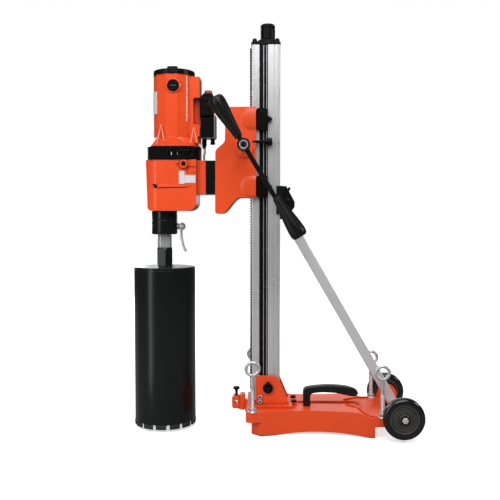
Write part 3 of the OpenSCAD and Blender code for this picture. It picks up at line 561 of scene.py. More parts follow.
def water_valve():
    """Valve, and its lever that curves down from its boss and is ribbed on its lower half."""
    soften("water_valve", 0.5)
    low, high = span("valve_lever")
    pivot = Vector((low.x + 7.5, (low.y + high.y) / 2 - 1, high.z - 7.5))
    hang = [(-1, 3), (-1, -10), (0, -28), (3, -46), (8, -62), (14, -73)]
    drop = flow([pivot + Vector((x, 0, z)) for x, z in hang], 9)
    rib_start = 14
    lever = bmesh.new()
    sweep(lever, drop, lambda i: scaled(disc(1, 12), 4.2 + 0.5 * math.sin(1.9 * i) * (i > rib_start), 1.8))
    boss = pivot - Y * 2
    turn(lever, [(0, -1.8), (7, -1.8), (7.5, -1.2), (7.5, 3.6), (7, 4.2), (0, 4.2)], boss, Y, 32)
    turn(lever, [(0, -4), (2.5, -4), (3.2, -3.4), (3.2, -1.5), (0, -1.5)], boss + Y, Y, 20)
    add_piece("valve_lever_arm", lever, "valve_lever", ["valve_lever"], angle=50)


# ---------- gearbox and vent ring ----------

def gearbox():
    """Cast housing with a hollow behind the selector, cast steps, a dark strip painted as the shadow under a
    rib, and a blank label.
    """
    side = span("gearbox_housing")[0].y
    pocket = prism(bmesh.new(), rounded((72, 727), (99, 748), 5), side - 1, side + 3.2, "XZ")
    shell = combine(copy_node("gearbox_housing"), pocket)
    add_piece("gearbox_shell", shell, "gearbox_housing", ["gearbox_housing"], CAST, bevel=2.4, segments=3,
              angle=30)
    # Cast step above the painted shadow strip, and the rib that runs back from the plug
    step = [(-6, 691), (84, 691.5), (84, 693.5), (40, 695.5), (24, 724), (13, 757), (8, 757), (18, 724),
            (30, 696.5), (-6, 696)]
    trim = prism(bmesh.new(), step, side - 1.1, side + 2, "XZ")
    prism(trim, [(-14, 688), (80, 690), (80, 692), (-14, 694)], side - 2, side + 2, "XZ")
    add_piece("gearbox_rib", trim, "gearbox_housing", (), CAST, bevel=0.9, segments=2, angle=30)
    # A near-black strip painted as the shadow under the rib that runs back from the plug
    line = [(-10, 685.6), (60, 687.2), (76, 688.6), (76, 690), (-10, 688.4)]
    ledge_shadow = prism(bmesh.new(), line, side - 0.5, side + 2, "XZ")
    add_piece("gearbox_ledge_shadow", ledge_shadow, "gearbox_housing", material=HOLLOW_SHADE, slot="black_steel", bevel=0.2)
    gearbox_plug(side)
    gear_selector(side)
    label = prism(bmesh.new(), rounded((50, 698), (66, 735), 1.5), side - 0.4, side + 0.6, "XZ")
    prism(label, rounded((66.5, 701), (97, 723), 1.5), side - 0.4, side + 0.6, "XZ")
    add_piece("gearbox_label", label, "gearbox_housing", material=LABEL, slot="black_plastic", bevel=0.15)


def gearbox_plug(side):
    """Small hexagon plug with a tab over it."""
    at = centre_of("gearbox_plug")
    head = [(0, 0), (5.4, 0), (5.4, 1.8), (4.6, 2.4), (0, 2.4)]
    plug = turn(bmesh.new(), head, (at.x, side - 2.2, at.z), Y, 6)
    box(plug, (at.x - 9, side - 1.6, at.z + 3), (at.x + 1, side + 1, at.z + 6))
    add_piece("gearbox_plug_head", plug, "gearbox_plug", ["gearbox_plug"], bevel=0.5)


def gear_selector(side):
    """Round boss with a pointer and a dark screw in its middle, beside a fixed ear."""
    low, high = span("gear_selector")
    front, back = low.y, high.y
    at = centre_of("gear_selector")
    profile = [(5.2, back), (5.2, front + 9), (12.2, front + 9), (12.2, front + 2), (11, front),
               (6.5, front), (6.5, front + 3), (0, front + 3)]
    knob = turn(bmesh.new(), profile, (at.x, 0, at.z), Y, 48)
    pointer = rounded((at.x - 1.2, at.z + 7), (at.x + 1.2, at.z + 11.4), 1)
    prism(knob, pointer, front - 0.8, front + 3, "XZ")
    add_piece("gear_selector_boss", knob, "gear_selector", ["gear_selector"], bevel=0.6)
    outline = rounded((at.x - 21, at.z + 1), (at.x - 13.4, at.z + 9), 3)
    ear = prism(bmesh.new(), outline, front + 3, side + 1, "XZ")
    add_piece("gearbox_ear", ear, "gearbox_housing", (), CAST, bevel=1.2)
    head = [(0, 1.2), (2.6, 1.2), (3.4, 0.3), (5.4, 0), (6.2, 0.8), (6.2, 3)]
    screw = turn(bmesh.new(), head, (at.x + 1, front, at.z), Y, 24)
    add_piece("gear_selector_screw", screw, "gear_selector", slot="black_steel")


def vent_ring():
    """Black ring, with upright bars on its near side."""
    bars = 9
    pitch = 9
    soften("vent_ring", 0.9, 2, 30)
    low, high = span("vent_ring")
    lip = bmesh.new()
    for i in range(bars):
        x = 8 + pitch * i
        prism(lip, rounded((x - 2.2, high.z - 27), (x + 0.2, high.z - 5), 1.1), low.y - 0.9, low.y + 3, "XZ")
    add_piece("vent_ring_bars", lip, "vent_ring", bevel=0.5, segments=2)


# ---------- motor ----------

MOTOR_X = centre_of("motor_cap").x
# How far the upright edge strips, painted as highlights, stand from the motor's axis along X and along Y, and
# from where to where
MOTOR_EDGE = 42.7
EDGE_SPAN = (876, 1003)
# Each split rib's top, left foot and right foot as (X, Z)
SPLIT_RIBS = [((0, 866), (-12, 808), (9, 818)), ((92, 858), (84, 812), (103, 812))]
BRUSH_FLAT = 54


def motor():
    """Twelve-sided housing with a rear block, split ribs at its foot and two strips on its upright edges,
    ribs and strips in a paler orange painted as highlights.
    """
    shell = copy_node("motor_housing")
    # Pockets in the flanks of the rear block, beside the switch box
    for side in (NEAR, FAR):
        pocket = prism(bmesh.new(), rounded((89, 868), (112, 944), 5), side * 36, side * 12, "XZ")
        shell = combine(shell, pocket)
    add_piece("motor_shell", shell, "motor_housing", ["motor_housing"], bevel=4.5, segments=3, angle=22)
    ribs, edges = bmesh.new(), bmesh.new()
    for side in (NEAR, FAR):
        for top, left, right in SPLIT_RIBS:
            for foot in (left, right):
                motor_rib(ribs, side, top, foot)
        x, y = MOTOR_X + MOTOR_EDGE, side * MOTOR_EDGE
        outline = [(x - 3, y), (x - 1.2, y + side * 0.9), (x + 0.9, y - side * 1.2), (x, y - side * 3)]
        prism(edges, outline, *EDGE_SPAN)
    # The ribs and the edge strips are narrow pieces in the paler orange painted as highlights
    add_piece("motor_rib_highlights", ribs, "motor_housing", material=HIGHLIGHT_ENAMEL, angle=60)
    add_piece("motor_edge_highlights", edges, "motor_housing", material=HIGHLIGHT_ENAMEL, bevel=0.6)


def motor_rib(ribs, side, top, foot):
    """A rib from (X, Z) top to foot, that follows the flare and is widest where it turns outwards."""
    knee = [top[k] + 0.72 * (foot[k] - top[k]) for k in (0, 1)]
    crest = [(top[0], side * 54.5, top[1]), (knee[0], side * 58.6, knee[1]), (foot[0], side * 59.6, foot[1])]
    sizes = [(0.7, 0.7), (1.7, 2.2), (1.3, 1.3)]
    sweep(ribs, crest, lambda i: scaled(disc(1, 8), *sizes[i]))


def brushes():
    """Round brush caps with a slot, each in a raised boss."""
    at = centre_of("brush_caps")
    boss, caps, slots = bmesh.new(), bmesh.new(), bmesh.new()
    for side in (NEAR, FAR):
        axis = Y * side
        centre = (at.x, 0, at.z)
        turn(boss, [(17, BRUSH_FLAT), (20.5, BRUSH_FLAT), (20.5, 58.6), (19, 60), (17, 60)], centre, axis, 48,
             True)
        turn(caps, [(0, BRUSH_FLAT), (16.6, BRUSH_FLAT), (16.6, 61), (15.2, 62.3), (12.2, 62.3), (11.6, 61.2),
                    (0, 61.2)], centre, axis, 48)
        slot = rounded((at.x - 8, at.z - 1.6), (at.x + 8, at.z + 1.6), 1.5)
        prism(slots, slot, side * 60.6, side * 61.8, "XZ")
    add_piece("brush_bosses", boss, "motor_housing", bevel=0.4)
    add_piece("brush_cap_discs", caps, "brush_caps", ["brush_caps"], bevel=0.3)
    add_piece("brush_cap_slots", slots, "brush_caps", slot="zinc_steel", material=FINISH["hub_plastic"],
              bevel=0.3)


def motor_cap():
    """Round black end cap whose skirt laps over the housing, with humps and screw bosses on top."""
    foot = span("motor_cap")[0].z + 12.3
    profile = [(0, foot), (57, foot), (57, foot - 11), (60, foot - 11), (60.3, foot - 9.5),
               (60.3, foot + 0.5), (59, foot + 3), (50, foot + 5), (30, foot + 7), (0, foot + 8)]
    cap = turn(bmesh.new(), profile, (MOTOR_X, 0, 0), Z, 72)
    for side in (NEAR, FAR):
        hump = rounded((MOTOR_X - 15, side * 32 - 9), (MOTOR_X + 15, side * 32 + 9), 7)
        prism(cap, hump, foot + 3, foot + 12.5)
    prism(cap, rounded((MOTOR_X - 26, -20), (MOTOR_X + 26, 20), 8), foot + 5, foot + 9.6)
    for x in (-40, 40):
        stud = [(6, foot + 4), (6, foot + 9), (5, foot + 9.6), (0, foot + 9.6)]
        turn(cap, stud, (MOTOR_X + x, 0, 0), Z, 20)
    add_piece("motor_cap_cover", cap, "motor_cap", ["motor_cap"], bevel=1.0, segments=2)


def motor_label():
    """Blank plate on the motor's front left flat."""
    plate = prism(bmesh.new(), rounded((-11, 897), (11, 961), 2), -60.2, -57, "XZ")
    place(plate, Matrix.Translation((MOTOR_X, 0, 0)) @ Matrix.Rotation(math.radians(-60), 4, "Z"))
    add_piece("motor_label", plate, "motor_housing", material=LABEL, slot="black_plastic", bevel=0.2)


# ---------- switch box and cable ----------

def switch():
    """Black box in two steps with a grey back plate, knobs, screws and a cable gland below."""
    low, high = span("switch_box")
    near, far = low.y, low.y + 52
    body = bmesh.new()
    box(body, (low.x + 3, near, low.z + 16), (high.x - 4, far, low.z + 80))
    head = [(low.x, low.z + 72), (high.x - 6, low.z + 72), (high.x - 6, low.z + 136),
            (high.x - 9, low.z + 142), (low.x + 12, low.z + 142), (low.x, low.z + 128)]
    prism(body, head, near, far - 4, "XZ")
    box(body, (low.x + 9, near - 1.2, low.z + 78), (high.x - 12, near + 2, low.z + 98))
    box(body, (low.x + 2, near - 1.2, low.z + 118), (high.x - 14, near + 2, low.z + 130))
    add_piece("switch_box_body", body, "switch_box", ["switch_box"], bevel=1.8, segments=3)
    plate = bmesh.new()
    box(plate, (high.x - 5, near + 1, low.z + 17), (high.x, far, low.z + 80))
    box(plate, (low.x + 6, near + 1, low.z + 15), (high.x - 1, far, low.z + 18))
    add_piece("switch_back_plate", plate, "switch_box", slot="zinc_steel", material=GREY_PLATE, bevel=1)
    knob = [(9, 0), (9, -2), (7.4, -3), (7.4, -5), (6.5, -6), (0, -6)]
    knobs = turn(bmesh.new(), knob, (low.x + 24, near + 1, low.z + 104), Y, 32)
    box(knobs, (low.x + 14, near - 4.5, low.z + 106), (low.x + 30, near, low.z + 111))
    for x, z in ((6, 88), (38, 88), (6, 124), (40, 130)):
        screw = [(3.2, 0), (3.2, -1.6), (2.6, -2.2), (0, -2.2)]
        turn(knobs, screw, (low.x + x, near + 0.4, low.z + z), Y, 16)
    gland = [(6.6, 0), (7, 1), (7, 5), (6, 6), (6, 12), (7, 13), (7, 17)]
    turn(knobs, gland, (low.x + 34, 8, low.z), Z, 32)
    add_piece("switch_knobs", knobs, "switch_box", bevel=0.5, slot="black_plastic")


def switch_button():
    """Red lens on a wider foot."""
    low, high = span("switch_button")
    at = centre_of("switch_button")
    profile = [(14, low.z), (14, low.z + 4), (11.5, low.z + 4.6), (11.5, high.z - 3), (10.6, high.z - 1),
               (8.5, high.z), (0, high.z)]
    lens = turn(bmesh.new(), profile, (at.x, at.y, 0), Z, 40)
    add_piece("switch_button_lens", lens, "switch_button", ["switch_button"], bevel=0.3)


def motor_cable():
    """Short grey cable that bows a little, with a ribbed sleeve below the switch box."""
    low, high = span("motor_cable")
    at = centre_of("motor_cable")
    cable = flow([(at.x, at.y, low.z), (at.x - 1, at.y, low.z + 14), (at.x + 1.5, at.y - 1, low.z + 28),
                  (at.x, at.y, high.z - 20), (at.x, at.y, high.z - 6)], 6)
    run = sweep(bmesh.new(), cable, lambda i: disc(3.4, 14))
    add_piece("motor_cable_run", run, "motor_cable", ["motor_cable"])
    foot = high.z - 34
    ribs = [(r, foot + k) for k, r in enumerate([4.4, 5, 4.3, 5.4, 4.6, 5.8, 5, 6.2, 5.4, 6.6])]
    sleeve = [(0, foot)] + ribs + [(7, high.z - 22), (7, high.z - 6), (0, high.z - 5)]
    gland = turn(bmesh.new(), sleeve, (at.x, at.y, 0), Z, 30)
    add_piece("motor_cable_gland", gland, "motor_cable", slot="black_plastic", angle=40)


# ---------- carriage ----------

CHEEK = 46
SHOE_BOLT_Z = (690, 881)
SHOE_REAR = 302
SHOE_H = 62
SHOE_LOW_Z = (660, 850)


def carriage():
    """Cast cheeks with cut-off round lobes at the shoe bolts and a boss round the pinion's shaft."""
    soften("carriage_casting", 3.2, 3, 20, CAST)
    dome = [(32, CHEEK), (32, 49.9), (29.5, 50.6), (27.6, 52), (26.4, 53.2), (22, 54.2), (12, 54.8), (0, 55)]
    lobes, boss = bmesh.new(), bmesh.new()
    pinion = centre_of("feed_pinion")
    for side in (NEAR, FAR):
        for z in SHOE_BOLT_Z:
            turn(lobes, dome, (256, 0, z), Y * side, 48)
            everything = lobes.verts[:] + lobes.edges[:] + lobes.faces[:]
            bmesh.ops.bisect_plane(lobes, geom=everything, dist=0.001, plane_co=(268, 0, 0), plane_no=X,
                                   clear_outer=True)
        turn(boss, [(12.2, 58.2), (22, 58.2), (24.2, 57), (24.5, 53), (25.6, 51), (28, 49.9), (28, CHEEK),
                    (12.2, CHEEK)], (pinion.x, 0, pinion.z), Y * side, 64, True)
    add_piece("carriage_lobes", lobes, "carriage_casting", (), CAST, angle=50)
    add_piece("carriage_boss", boss, "carriage_casting", (), CAST, angle=50)


def guide_shoes():
    """Shoes that clasp the column, each with a raised round-ended field."""
    shoe = bmesh.new()
    for side in (NEAR, FAR):
        for z in SHOE_LOW_Z:
            top = z + SHOE_H
            prism(shoe, rounded((268.2, z), (SHOE_REAR - 0.2, top), 9, 5), side * 38.4, side * 47.6, "XZ")
            prism(shoe, rounded((273, z + 8), (297, top - 8), 11, 6), side * 47, side * 49.4, "XZ")
            prism(shoe, rounded((270, z + 1), (300, top - 1), 2), side * 32.2, side * 39, "XZ")
    add_piece("guide_shoe_blocks", shoe, "guide_shoes", ["guide_shoes"], bevel=1.2, segments=3)


def thread(radius, start, end, pitch):
    """Profile of a screw's thread rings."""
    rings = []
    height = start
    while height + pitch <= end:
        rings += [(radius, height), (radius, height + pitch * 0.35), (radius - 0.55, height + pitch * 0.65)]
        height += pitch
    return rings + [(radius, height), (radius - 0.6, end)]


def shoe_bolts():
    """Hexagon bolts with washers, whose threaded ends stand proud."""
    bm = bmesh.new()
    for side in (NEAR, FAR):
        for z in SHOE_BOLT_Z:
            centre = (SHOE_REAR, side * 45, z)
            turn(bm, [(0, 0), (9.2, 0), (9.2, 1.6), (0, 1.6)], centre, X, 32)
            turn(bm, [(0, 1.6), (8, 1.6), (8.6, 2.4), (8.6, 6.4), (8, 7), (0, 7)], centre, X, 6)
            turn(bm, [(0, 7)] + thread(4.6, 7, 12, 1.4) + [(0, 12)], centre, X, 24)
    add_piece("shoe_bolt_heads", bm, "shoe_bolts", ["shoe_bolts"], bevel=0.3)


def carriage_lock():
    """Screw with a knurled knob behind the near shoe."""
    at = centre_of("carriage_lock_screw")
    centre = (0, at.y, at.z)
    shank = [(0, 262)] + thread(4.5, 262, 294, 1.8) + [(7.5, 294), (7.5, SHOE_REAR), (0, SHOE_REAR)]
    screw = turn(bmesh.new(), shank, centre, X, 24)
    knob = [(0, 301), (9, 301), (11, 303), (11, 311), (9.5, 314), (4, 314), (3.6, 312.6), (0, 312.6)]
    turn(screw, knob, centre, X, 24)
    ridges = 8
    for i in range(ridges):
        start = len(screw.verts)
        box(screw, (SHOE_REAR, -1.1, 9.6), (312, 1.1, 11.2))
        place(screw, Matrix.Translation(centre) @ Matrix.Rotation(TURN * i / ridges, 4, "X"), start)
    add_piece("carriage_lock_knob", screw, "carriage_lock_screw", ["carriage_lock_screw"], bevel=0.4)


# ---------- feed crank ----------

GRIP_R = 23
GRIP_LEN = 126


def crank_hub():
    """Round hub with a bright ring, a recess with a near-black floor painted as its shade, and the shaft's
    square end in it.
    """
    low, high = span("crank_hub")
    at = centre_of("crank_hub")
    front, back = low.y, high.y
    radius = (high.x - low.x) / 2
    bore = (at.x, 0, at.z)
    profile = [(12.6, front + 3.4), (14.4, front + 0.6), (16, front), (radius, front + 2.2),
               (radius, back - 6), (radius - 3, back - 2), (14, back), (8.1, back), (8.1, back - 6),
               (8.1, front + 7), (12.6, front + 7)]
    hub = turn(bmesh.new(), profile, bore, Y, 64, True)
    add_piece("crank_hub_body", hub, "crank_hub", ["crank_hub"], bevel=0.4)
    lip = [(8.6, front + 3.4), (9.4, front + 2.2), (11.8, front + 2.2), (12.5, front + 3.4),
           (12.5, front + 6), (8.6, front + 6)]
    ring = turn(bmesh.new(), lip, bore, Y, 48, True)
    add_piece("crank_hub_ring", ring, "crank_hub", slot="zinc_steel", bevel=0.2)
    # The recess's floor is a near-black fill painted as shade
    recess = [(0, front + 4.6), (8.4, front + 4.6), (8.4, front + 8), (0, front + 8)]
    stub = turn(bmesh.new(), recess, bore, Y, 32)
    add_piece("crank_hub_recess", stub, "crank_hub", material=HOLLOW_SHADE, slot="black_steel")
    half = 4.6
    outline = [(-half, -half), (half, -half), (half, half), (-half, half)]
    square = prism(bmesh.new(), outline, front + 3.2, front + 6, "XZ")
    place(square, Matrix.Translation(bore) @ Matrix.Rotation(math.radians(20), 4, "Y"))
    add_piece("crank_shaft_square", square, "crank_hub", slot="black_steel", bevel=0.6)


def crank_bar():
    """Leaning bar with a grip at each end that swells towards its tip."""
    hub = centre_of("crank_hub")
    low, high = span("crank_grips")
    # The bar's ends are the far corners of the grips' box
    upper = Vector((low.x + GRIP_R, hub.y, high.z - GRIP_R))
    lower = Vector((high.x - GRIP_R, hub.y, low.z + GRIP_R))
    bar_low, bar_high = span("crank_bar")
    along = (Vector((bar_low.x, 0, bar_high.z)) - Vector((bar_high.x, 0, bar_low.z))).normalized()
    centre = Vector((hub.x, centre_of("crank_bar").y, hub.z))
    soften("crank_bar", 0.6)
    grips = bmesh.new()
    grip = [(0, 0), (9.2, 0), (10.6, 0.6), (11.4, 3), (11.8, 6), (13.2, 20), (15.2, 38), (17.6, 56), (20, 74),
            (21.8, 90), (22.8, 102), (GRIP_R, 109), (22.4, 116), (20.6, 121.5), (17.6, 124.6), (15.4, 125.4),
            (14.6, 124.6), (0, 124.6)]
    for end, tip in ((1, upper), (-1, lower)):
        reach = end * (tip - centre).dot(along)
        start = centre + along * end * (reach + GRIP_R - GRIP_LEN)
        turn(grips, grip, start, along * end, 64)
    add_piece("crank_grip_pair", grips, "crank_grips", ["crank_grips"], angle=40)


# ---------- column and jack ----------

JACK_X = 301
GROOVE_START = 21.5
GROOVE_W = 24.5
GROOVE_DEPTH = 7
RACK_HALF = 11


def column():
    """Extrusion with a deep groove and thin lines in each side, dark strips in the grooves, and the rack."""
    low, high = span("column_profile")
    front, rear, half = low.x, high.x, high.y
    flank = [(front + 4, RACK_HALF), (front, RACK_HALF), (front, half - 3)]
    flank += arc((front + 3, half - 3), 3, 180, 90, 3)
    grooves = [(front + 6, 1, 0.9), (front + GROOVE_START, GROOVE_W, GROOVE_DEPTH), (rear - 18, 2.2, 1.8),
               (rear - 6.4, 1.8, 1.8)]
    for x, width, depth in grooves:
        flank += [(x, half), (x, half - depth), (x + width, half - depth), (x + width, half)]
    flank += arc((rear - 3, half - 3), 3, 90, 0, 3)
    flank += [(rear, 6), (rear - 5, 6), (rear - 5, 11), (rear - 12, 11)]
    section = flank + [(x, -y) for x, y in reversed(flank)]
    extrusion = prism(bmesh.new(), section, low.z, high.z)
    add_piece("column_extrusion", extrusion, "column_profile", ["column_profile"], bevel=0.4, segments=2,
              angle=40)
    soften("column_rack", 0.25, 1, 25)
    guide_strips(front + GROOVE_START, half)


def guide_strips(start, half):
    """A dark strip in each groove, crossed by two thin bright lines that run its whole length."""
    low, high = span("guide_strips")
    floor = half - GROOVE_DEPTH + 0.2
    strips, lines = bmesh.new(), bmesh.new()
    for side in (NEAR, FAR):
        box(strips, (start + 0.2, side * floor, low.z), (start + GROOVE_W - 0.2, side * (half - 2), high.z))
        for x in (start + 12.3, start + 20.9):
            box(lines, (x - 0.7, side * floor, low.z), (x + 0.7, side * (half - 1.4), high.z))
    add_piece("guide_strip_pair", strips, "guide_strips", ["guide_strips"], bevel=0.5)
    add_piece("column_lines", lines, "column_profile", bevel=0.2)


def column_cap():
    """Cast cap with a collar for the jack, two raised ends and a bolt at each corner."""
    low, high = span("column_cap")
    top = high.z
    cap = prism(bmesh.new(), rounded((low.x, low.y), (high.x, high.y), 5), top - 19, top - 12)
    collar = [(35, top - 13), (35, top - 10), (32, top - 4), (27, top - 0.8), (23.5, top), (12.4, top),
              (12.4, top - 13)]
    turn(cap, collar, (JACK_X, 0, 0), Z, 64, True)
    for x in (low.x + 3, high.x - 17):
        prism(cap, rounded((x, low.y + 3), (x + 14, high.y - 3), 4), top - 13, top - 4)
    for x in (low.x + 10, high.x - 10):
        for y in (low.y + 9, high.y - 9):
            turn(cap, [(5, top - 6), (5, top - 1.5), (4, top - 0.5), (0, top - 0.5)], (x, y, 0), Z, 6)
    add_piece("column_cap_casting", cap, "column_cap", ["column_cap"], bevel=1.2, segments=2)


def jack():
    """Screw with a grooved round head that is dished on top."""
    low, high = span("jack_screw")
    foot = high.z - 44.5
    radius = high.x - JACK_X
    profile = [(0, low.z), (12, low.z), (12, foot), (radius - 2, foot), (radius, foot + 2),
               (radius, foot + 30), (radius - 1, foot + 31), (radius - 1, foot + 33), (radius, foot + 34),
               (radius, high.z - 5), (radius - 1.4, high.z - 3), (radius - 3, high.z - 0.6),
               (radius - 5, high.z), (9, high.z), (8, high.z - 3), (0, high.z - 3)]
    head = turn(bmesh.new(), profile, (JACK_X, 0, 0), Z, 64)
    add_piece("jack_screw_head", head, "jack_screw", ["jack_screw"], bevel=0.4)


# ---------- brace ----------

CLAMP_SIDE = 21
# Where bolts end in the clamp: X, Z and the nut's corner radius
CLAMP_BOLTS = [(345, 680, 6.5), (345, 628, 6.5), (360, 650, 7.5)]


def brace():
    """Tube, clamp and lever, with a nut on a washer wherever a bolt ends in the clamp's side."""
    soften("brace_tube", 3.2, 3)
    soften("brace_clamp", 2.0, 3)
    soften("brace_clamp_lever", 1.6, 3)
    nuts = bmesh.new()
    for side in (NEAR, FAR):
        for x, z, radius in CLAMP_BOLTS:
            centre, axis = (x, 0, z), Y * side
            washer = [(0, CLAMP_SIDE), (radius + 2, CLAMP_SIDE), (radius + 2, 23.2), (0, 23.2)]
            turn(nuts, washer, centre, axis, 24)
            nut = [(0, 23), (radius, 23), (radius, 26.4), (radius - 1, 27.6), (0, 27.6)]
            turn(nuts, nut, centre, axis, 6)
    add_piece("brace_clamp_nuts", nuts, "brace_clamp", bevel=0.5)


# ---------- base and its fasteners ----------

FOOT_PLATE = 7
PIVOT_Z = 114
GUSSET_SIDE = 52
LOCK_SCREW_X = 280
LOCK_SCREW_Z = (74, 88)
OUTER_BOLTS_X, OUTER_BOLTS_Y = (310, 354), 61
INNER_BOLT_X, INNER_BOLT_Y = 378, 25


def base():
    """Cast base and foot, with a rib on each side that curls from the slot's end to the rear corner."""
    soften("base_casting", 2.6, 3, 25, CAST)
    soften("foot_bracket", 1.8, 3, 25, CAST)
    deck = span("foot_bracket")[0].z
    section = [(4.6, -3), (3.4, 1.4), (0, 3), (-3.4, 1.4), (-4.6, -3)]
    ribs = bmesh.new()
    for side in (NEAR, FAR):
        curl = flow([(528, side * 26, deck), (548, side * 40, deck - 0.5), (562, side * 62, deck - 3),
                     (574, side * 86, deck - 8), (590, side * 101, deck - 12.5),
                     (612, side * 108, deck - 13.5)], 6)
        sweep(ribs, curl, lambda i: section, upright=Z.cross(X))
    add_piece("base_ribs", ribs, "base_casting", (), CAST, bevel=0.8, segments=2)


def foot_bolts():
    """Painted button heads beside the gussets and dark hexagon heads behind them."""
    plate = span("foot_bracket")[0].z + FOOT_PLATE
    button = [(0, 0), (8.5, 0), (8.5, 1), (8, 1.5), (4.4, 1.8), (4.2, 0.6), (0, 0.6)]
    hexagon = [(0, 1.6), (7, 1.6), (7.6, 2.4), (7.6, 5.4), (6.8, 6), (0, 6)]
    outer, inner = bmesh.new(), bmesh.new()
    for side in (NEAR, FAR):
        for x in OUTER_BOLTS_X:
            turn(outer, button, (x, side * OUTER_BOLTS_Y, plate), Z, 28)
        turn(inner, button, (INNER_BOLT_X, side * INNER_BOLT_Y, plate), Z, 28)
        turn(inner, hexagon, (INNER_BOLT_X, side * INNER_BOLT_Y, plate), Z, 6)
    add_piece("foot_bolt_buttons", outer, "foot_bolts", ["foot_bolts"], material=FINISH["orange_enamel"],
              bevel=0.3)
    add_piece("foot_bolt_hexes", inner, "foot_bolts", bevel=0.5)


def pivot_bolt():
    """Round head with a small locking tab and a near-black bar painted as the shade of a slot, and a nut on
    the far side.
    """
    x = centre_of("column_pivot_bolt").x
    centre = (x, 0, PIVOT_Z)
    head = [(0, -GUSSET_SIDE), (14, -GUSSET_SIDE), (14, -58.6), (13, -60), (9, -60), (8.4, -59), (0, -59)]
    pivot = turn(bmesh.new(), head, centre, Y, 40)
    tab = [(0, -GUSSET_SIDE), (4.5, -GUSSET_SIDE), (4.5, -59), (4, -59.8), (0, -59.8)]
    turn(pivot, tab, (x, 0, PIVOT_Z + 14), Y, 20)
    nut = [(0, GUSSET_SIDE), (13.8, GUSSET_SIDE), (13.8, 59), (13, 60), (0, 60)]
    turn(pivot, nut, centre, Y, 6)
    add_piece("pivot_bolt_head", pivot, "column_pivot_bolt", ["column_pivot_bolt"], bevel=0.4)
    # The slot is not cut: a near-black bar on the head is painted as its shade
    outline = rounded((x - 6, PIVOT_Z - 1.3), (x + 6, PIVOT_Z + 1.3), 1.2)
    slot = prism(bmesh.new(), outline, -59.6, -58, "XZ")
    add_piece("pivot_bolt_slot", slot, "column_pivot_bolt", material=HOLLOW_SHADE)


def column_lock_screws():
    """Two socket screws in each gusset."""
    ring = [(3, GUSSET_SIDE), (6.5, GUSSET_SIDE), (6.5, 57.4), (5.9, 58), (3.4, 58), (3, 57.4)]
    # A near-black hexagon at the bottom of each socket is painted as its shade
    socket = [(0, GUSSET_SIDE), (3.1, GUSSET_SIDE), (3.1, 54.6), (0, 54.6)]
    heads, holes = bmesh.new(), bmesh.new()
    for side in (NEAR, FAR):
        for z in LOCK_SCREW_Z:
            turn(heads, ring, (LOCK_SCREW_X, 0, z), Y * side, 32, True)
            turn(holes, socket, (LOCK_SCREW_X, 0, z), Y * side, 6)
    add_piece("column_lock_heads", heads, "column_lock_screws", ["column_lock_screws"], bevel=0.25)
    add_piece("column_lock_sockets", holes, "column_lock_screws", material=HOLLOW_SHADE, slot="black_steel")


def carry_handle():
    """Handle that rises straight from the deck and runs back to a round free end."""
    middle = centre_of("carry_handle").y
    outline = flow([(404, 60), (404, 84), (404, 100), (406, 109), (412, 114), (424, 116.6), (440, 118.8),
                    (468, 121), (500, 120.6), (528, 117.6), (548, 112), (559, 105.5), (561.8, 98), (557, 91),
                    (548, 89.2), (536, 90.6), (522, 93.4), (500, 98), (468, 100), (444, 99), (430, 96),
                    (425, 90), (425, 76), (425, 60)], 3)
    grip = prism(bmesh.new(), outline, middle - 12, middle + 12, "XZ")
    add_piece("carry_handle_grip", grip, "carry_handle", ["carry_handle"], bevel=5.5, segments=4, angle=40)


# ---------- levelling screws ----------

EYE_R = 18.2
EYE_WIRE = 4.7
EYE_NARROW = 0.16
# Height of the bosses' faces at the front and at the rear, and the X that parts them
FRONT_SEAT, REAR_SEAT = 60, 47
SEATS_PART = 400


def eye_screw(node):
    """Threaded rod whose end is bent into a loop that narrows a little towards its neck."""
    low, high = span(node)
    at = centre_of(node)
    eye = high.z - EYE_R - 4.8
    neck = eye - EYE_R - 5
    screw = turn(bmesh.new(), [(0, low.z), (4, low.z), (6, low.z + 3)] + thread(6, low.z + 3, neck - 34, 2.5)
                 + [(6, neck - 30), (6, neck - 6), (5.4, neck), (4.8, neck + 3), (0, neck + 4)],
                 (at.x, at.y, 0), Z, 24)
    path = [Vector((at.x, at.y, neck - 1)), Vector((at.x + 1.2, at.y, neck + 3.2))]
    for turned in range(-68, 268, 8):
        a = math.radians(turned)
        wide = EYE_R * (1 - EYE_NARROW * max(0, -math.sin(a)) ** 2)
        # The wire's end passes beside the neck
        aside = 3.2 * max(0, turned - 180) / 88
        path.append(Vector((at.x + wide * math.cos(a), at.y - aside, eye + EYE_R * math.sin(a))))
    sweep(screw, path, lambda k: disc(EYE_WIRE if k else EYE_WIRE + 0.6, 14))
    add_piece(node.replace("screw", "eye"), screw, node, [node], angle=50)


def levelling():
    """Four eye screws, each with a domed washer and a nut on its boss."""
    nuts = bmesh.new()
    for i in range(1, 5):
        node = f"levelling_screw_{i}"
        eye_screw(node)
        at = centre_of(node)
        seat = FRONT_SEAT if at.x < SEATS_PART else REAR_SEAT
        washer = [(6.2, seat), (13, seat), (13.4, seat + 0.8), (12.6, seat + 2), (9.6, seat + 4.4),
                  (9.4, seat + 5), (6.2, seat + 5)]
        nut = [(6.2, seat + 4.4), (10.4, seat + 4.4), (10.9, seat + 5.2), (10.9, seat + 11.2),
               (10.2, seat + 12), (6.2, seat + 12)]
        turn(nuts, washer, (at.x, at.y, 0), Z, 40, True)
        turn(nuts, nut, (at.x, at.y, 0), Z, 6, True)
    add_piece("levelling_nut_set", nuts, "levelling_nuts", ["levelling_nuts"], bevel=0.4)


# ---------- accessory clamp ----------

CLAMP_X = 210
CLAMP_BORE_Z = 62


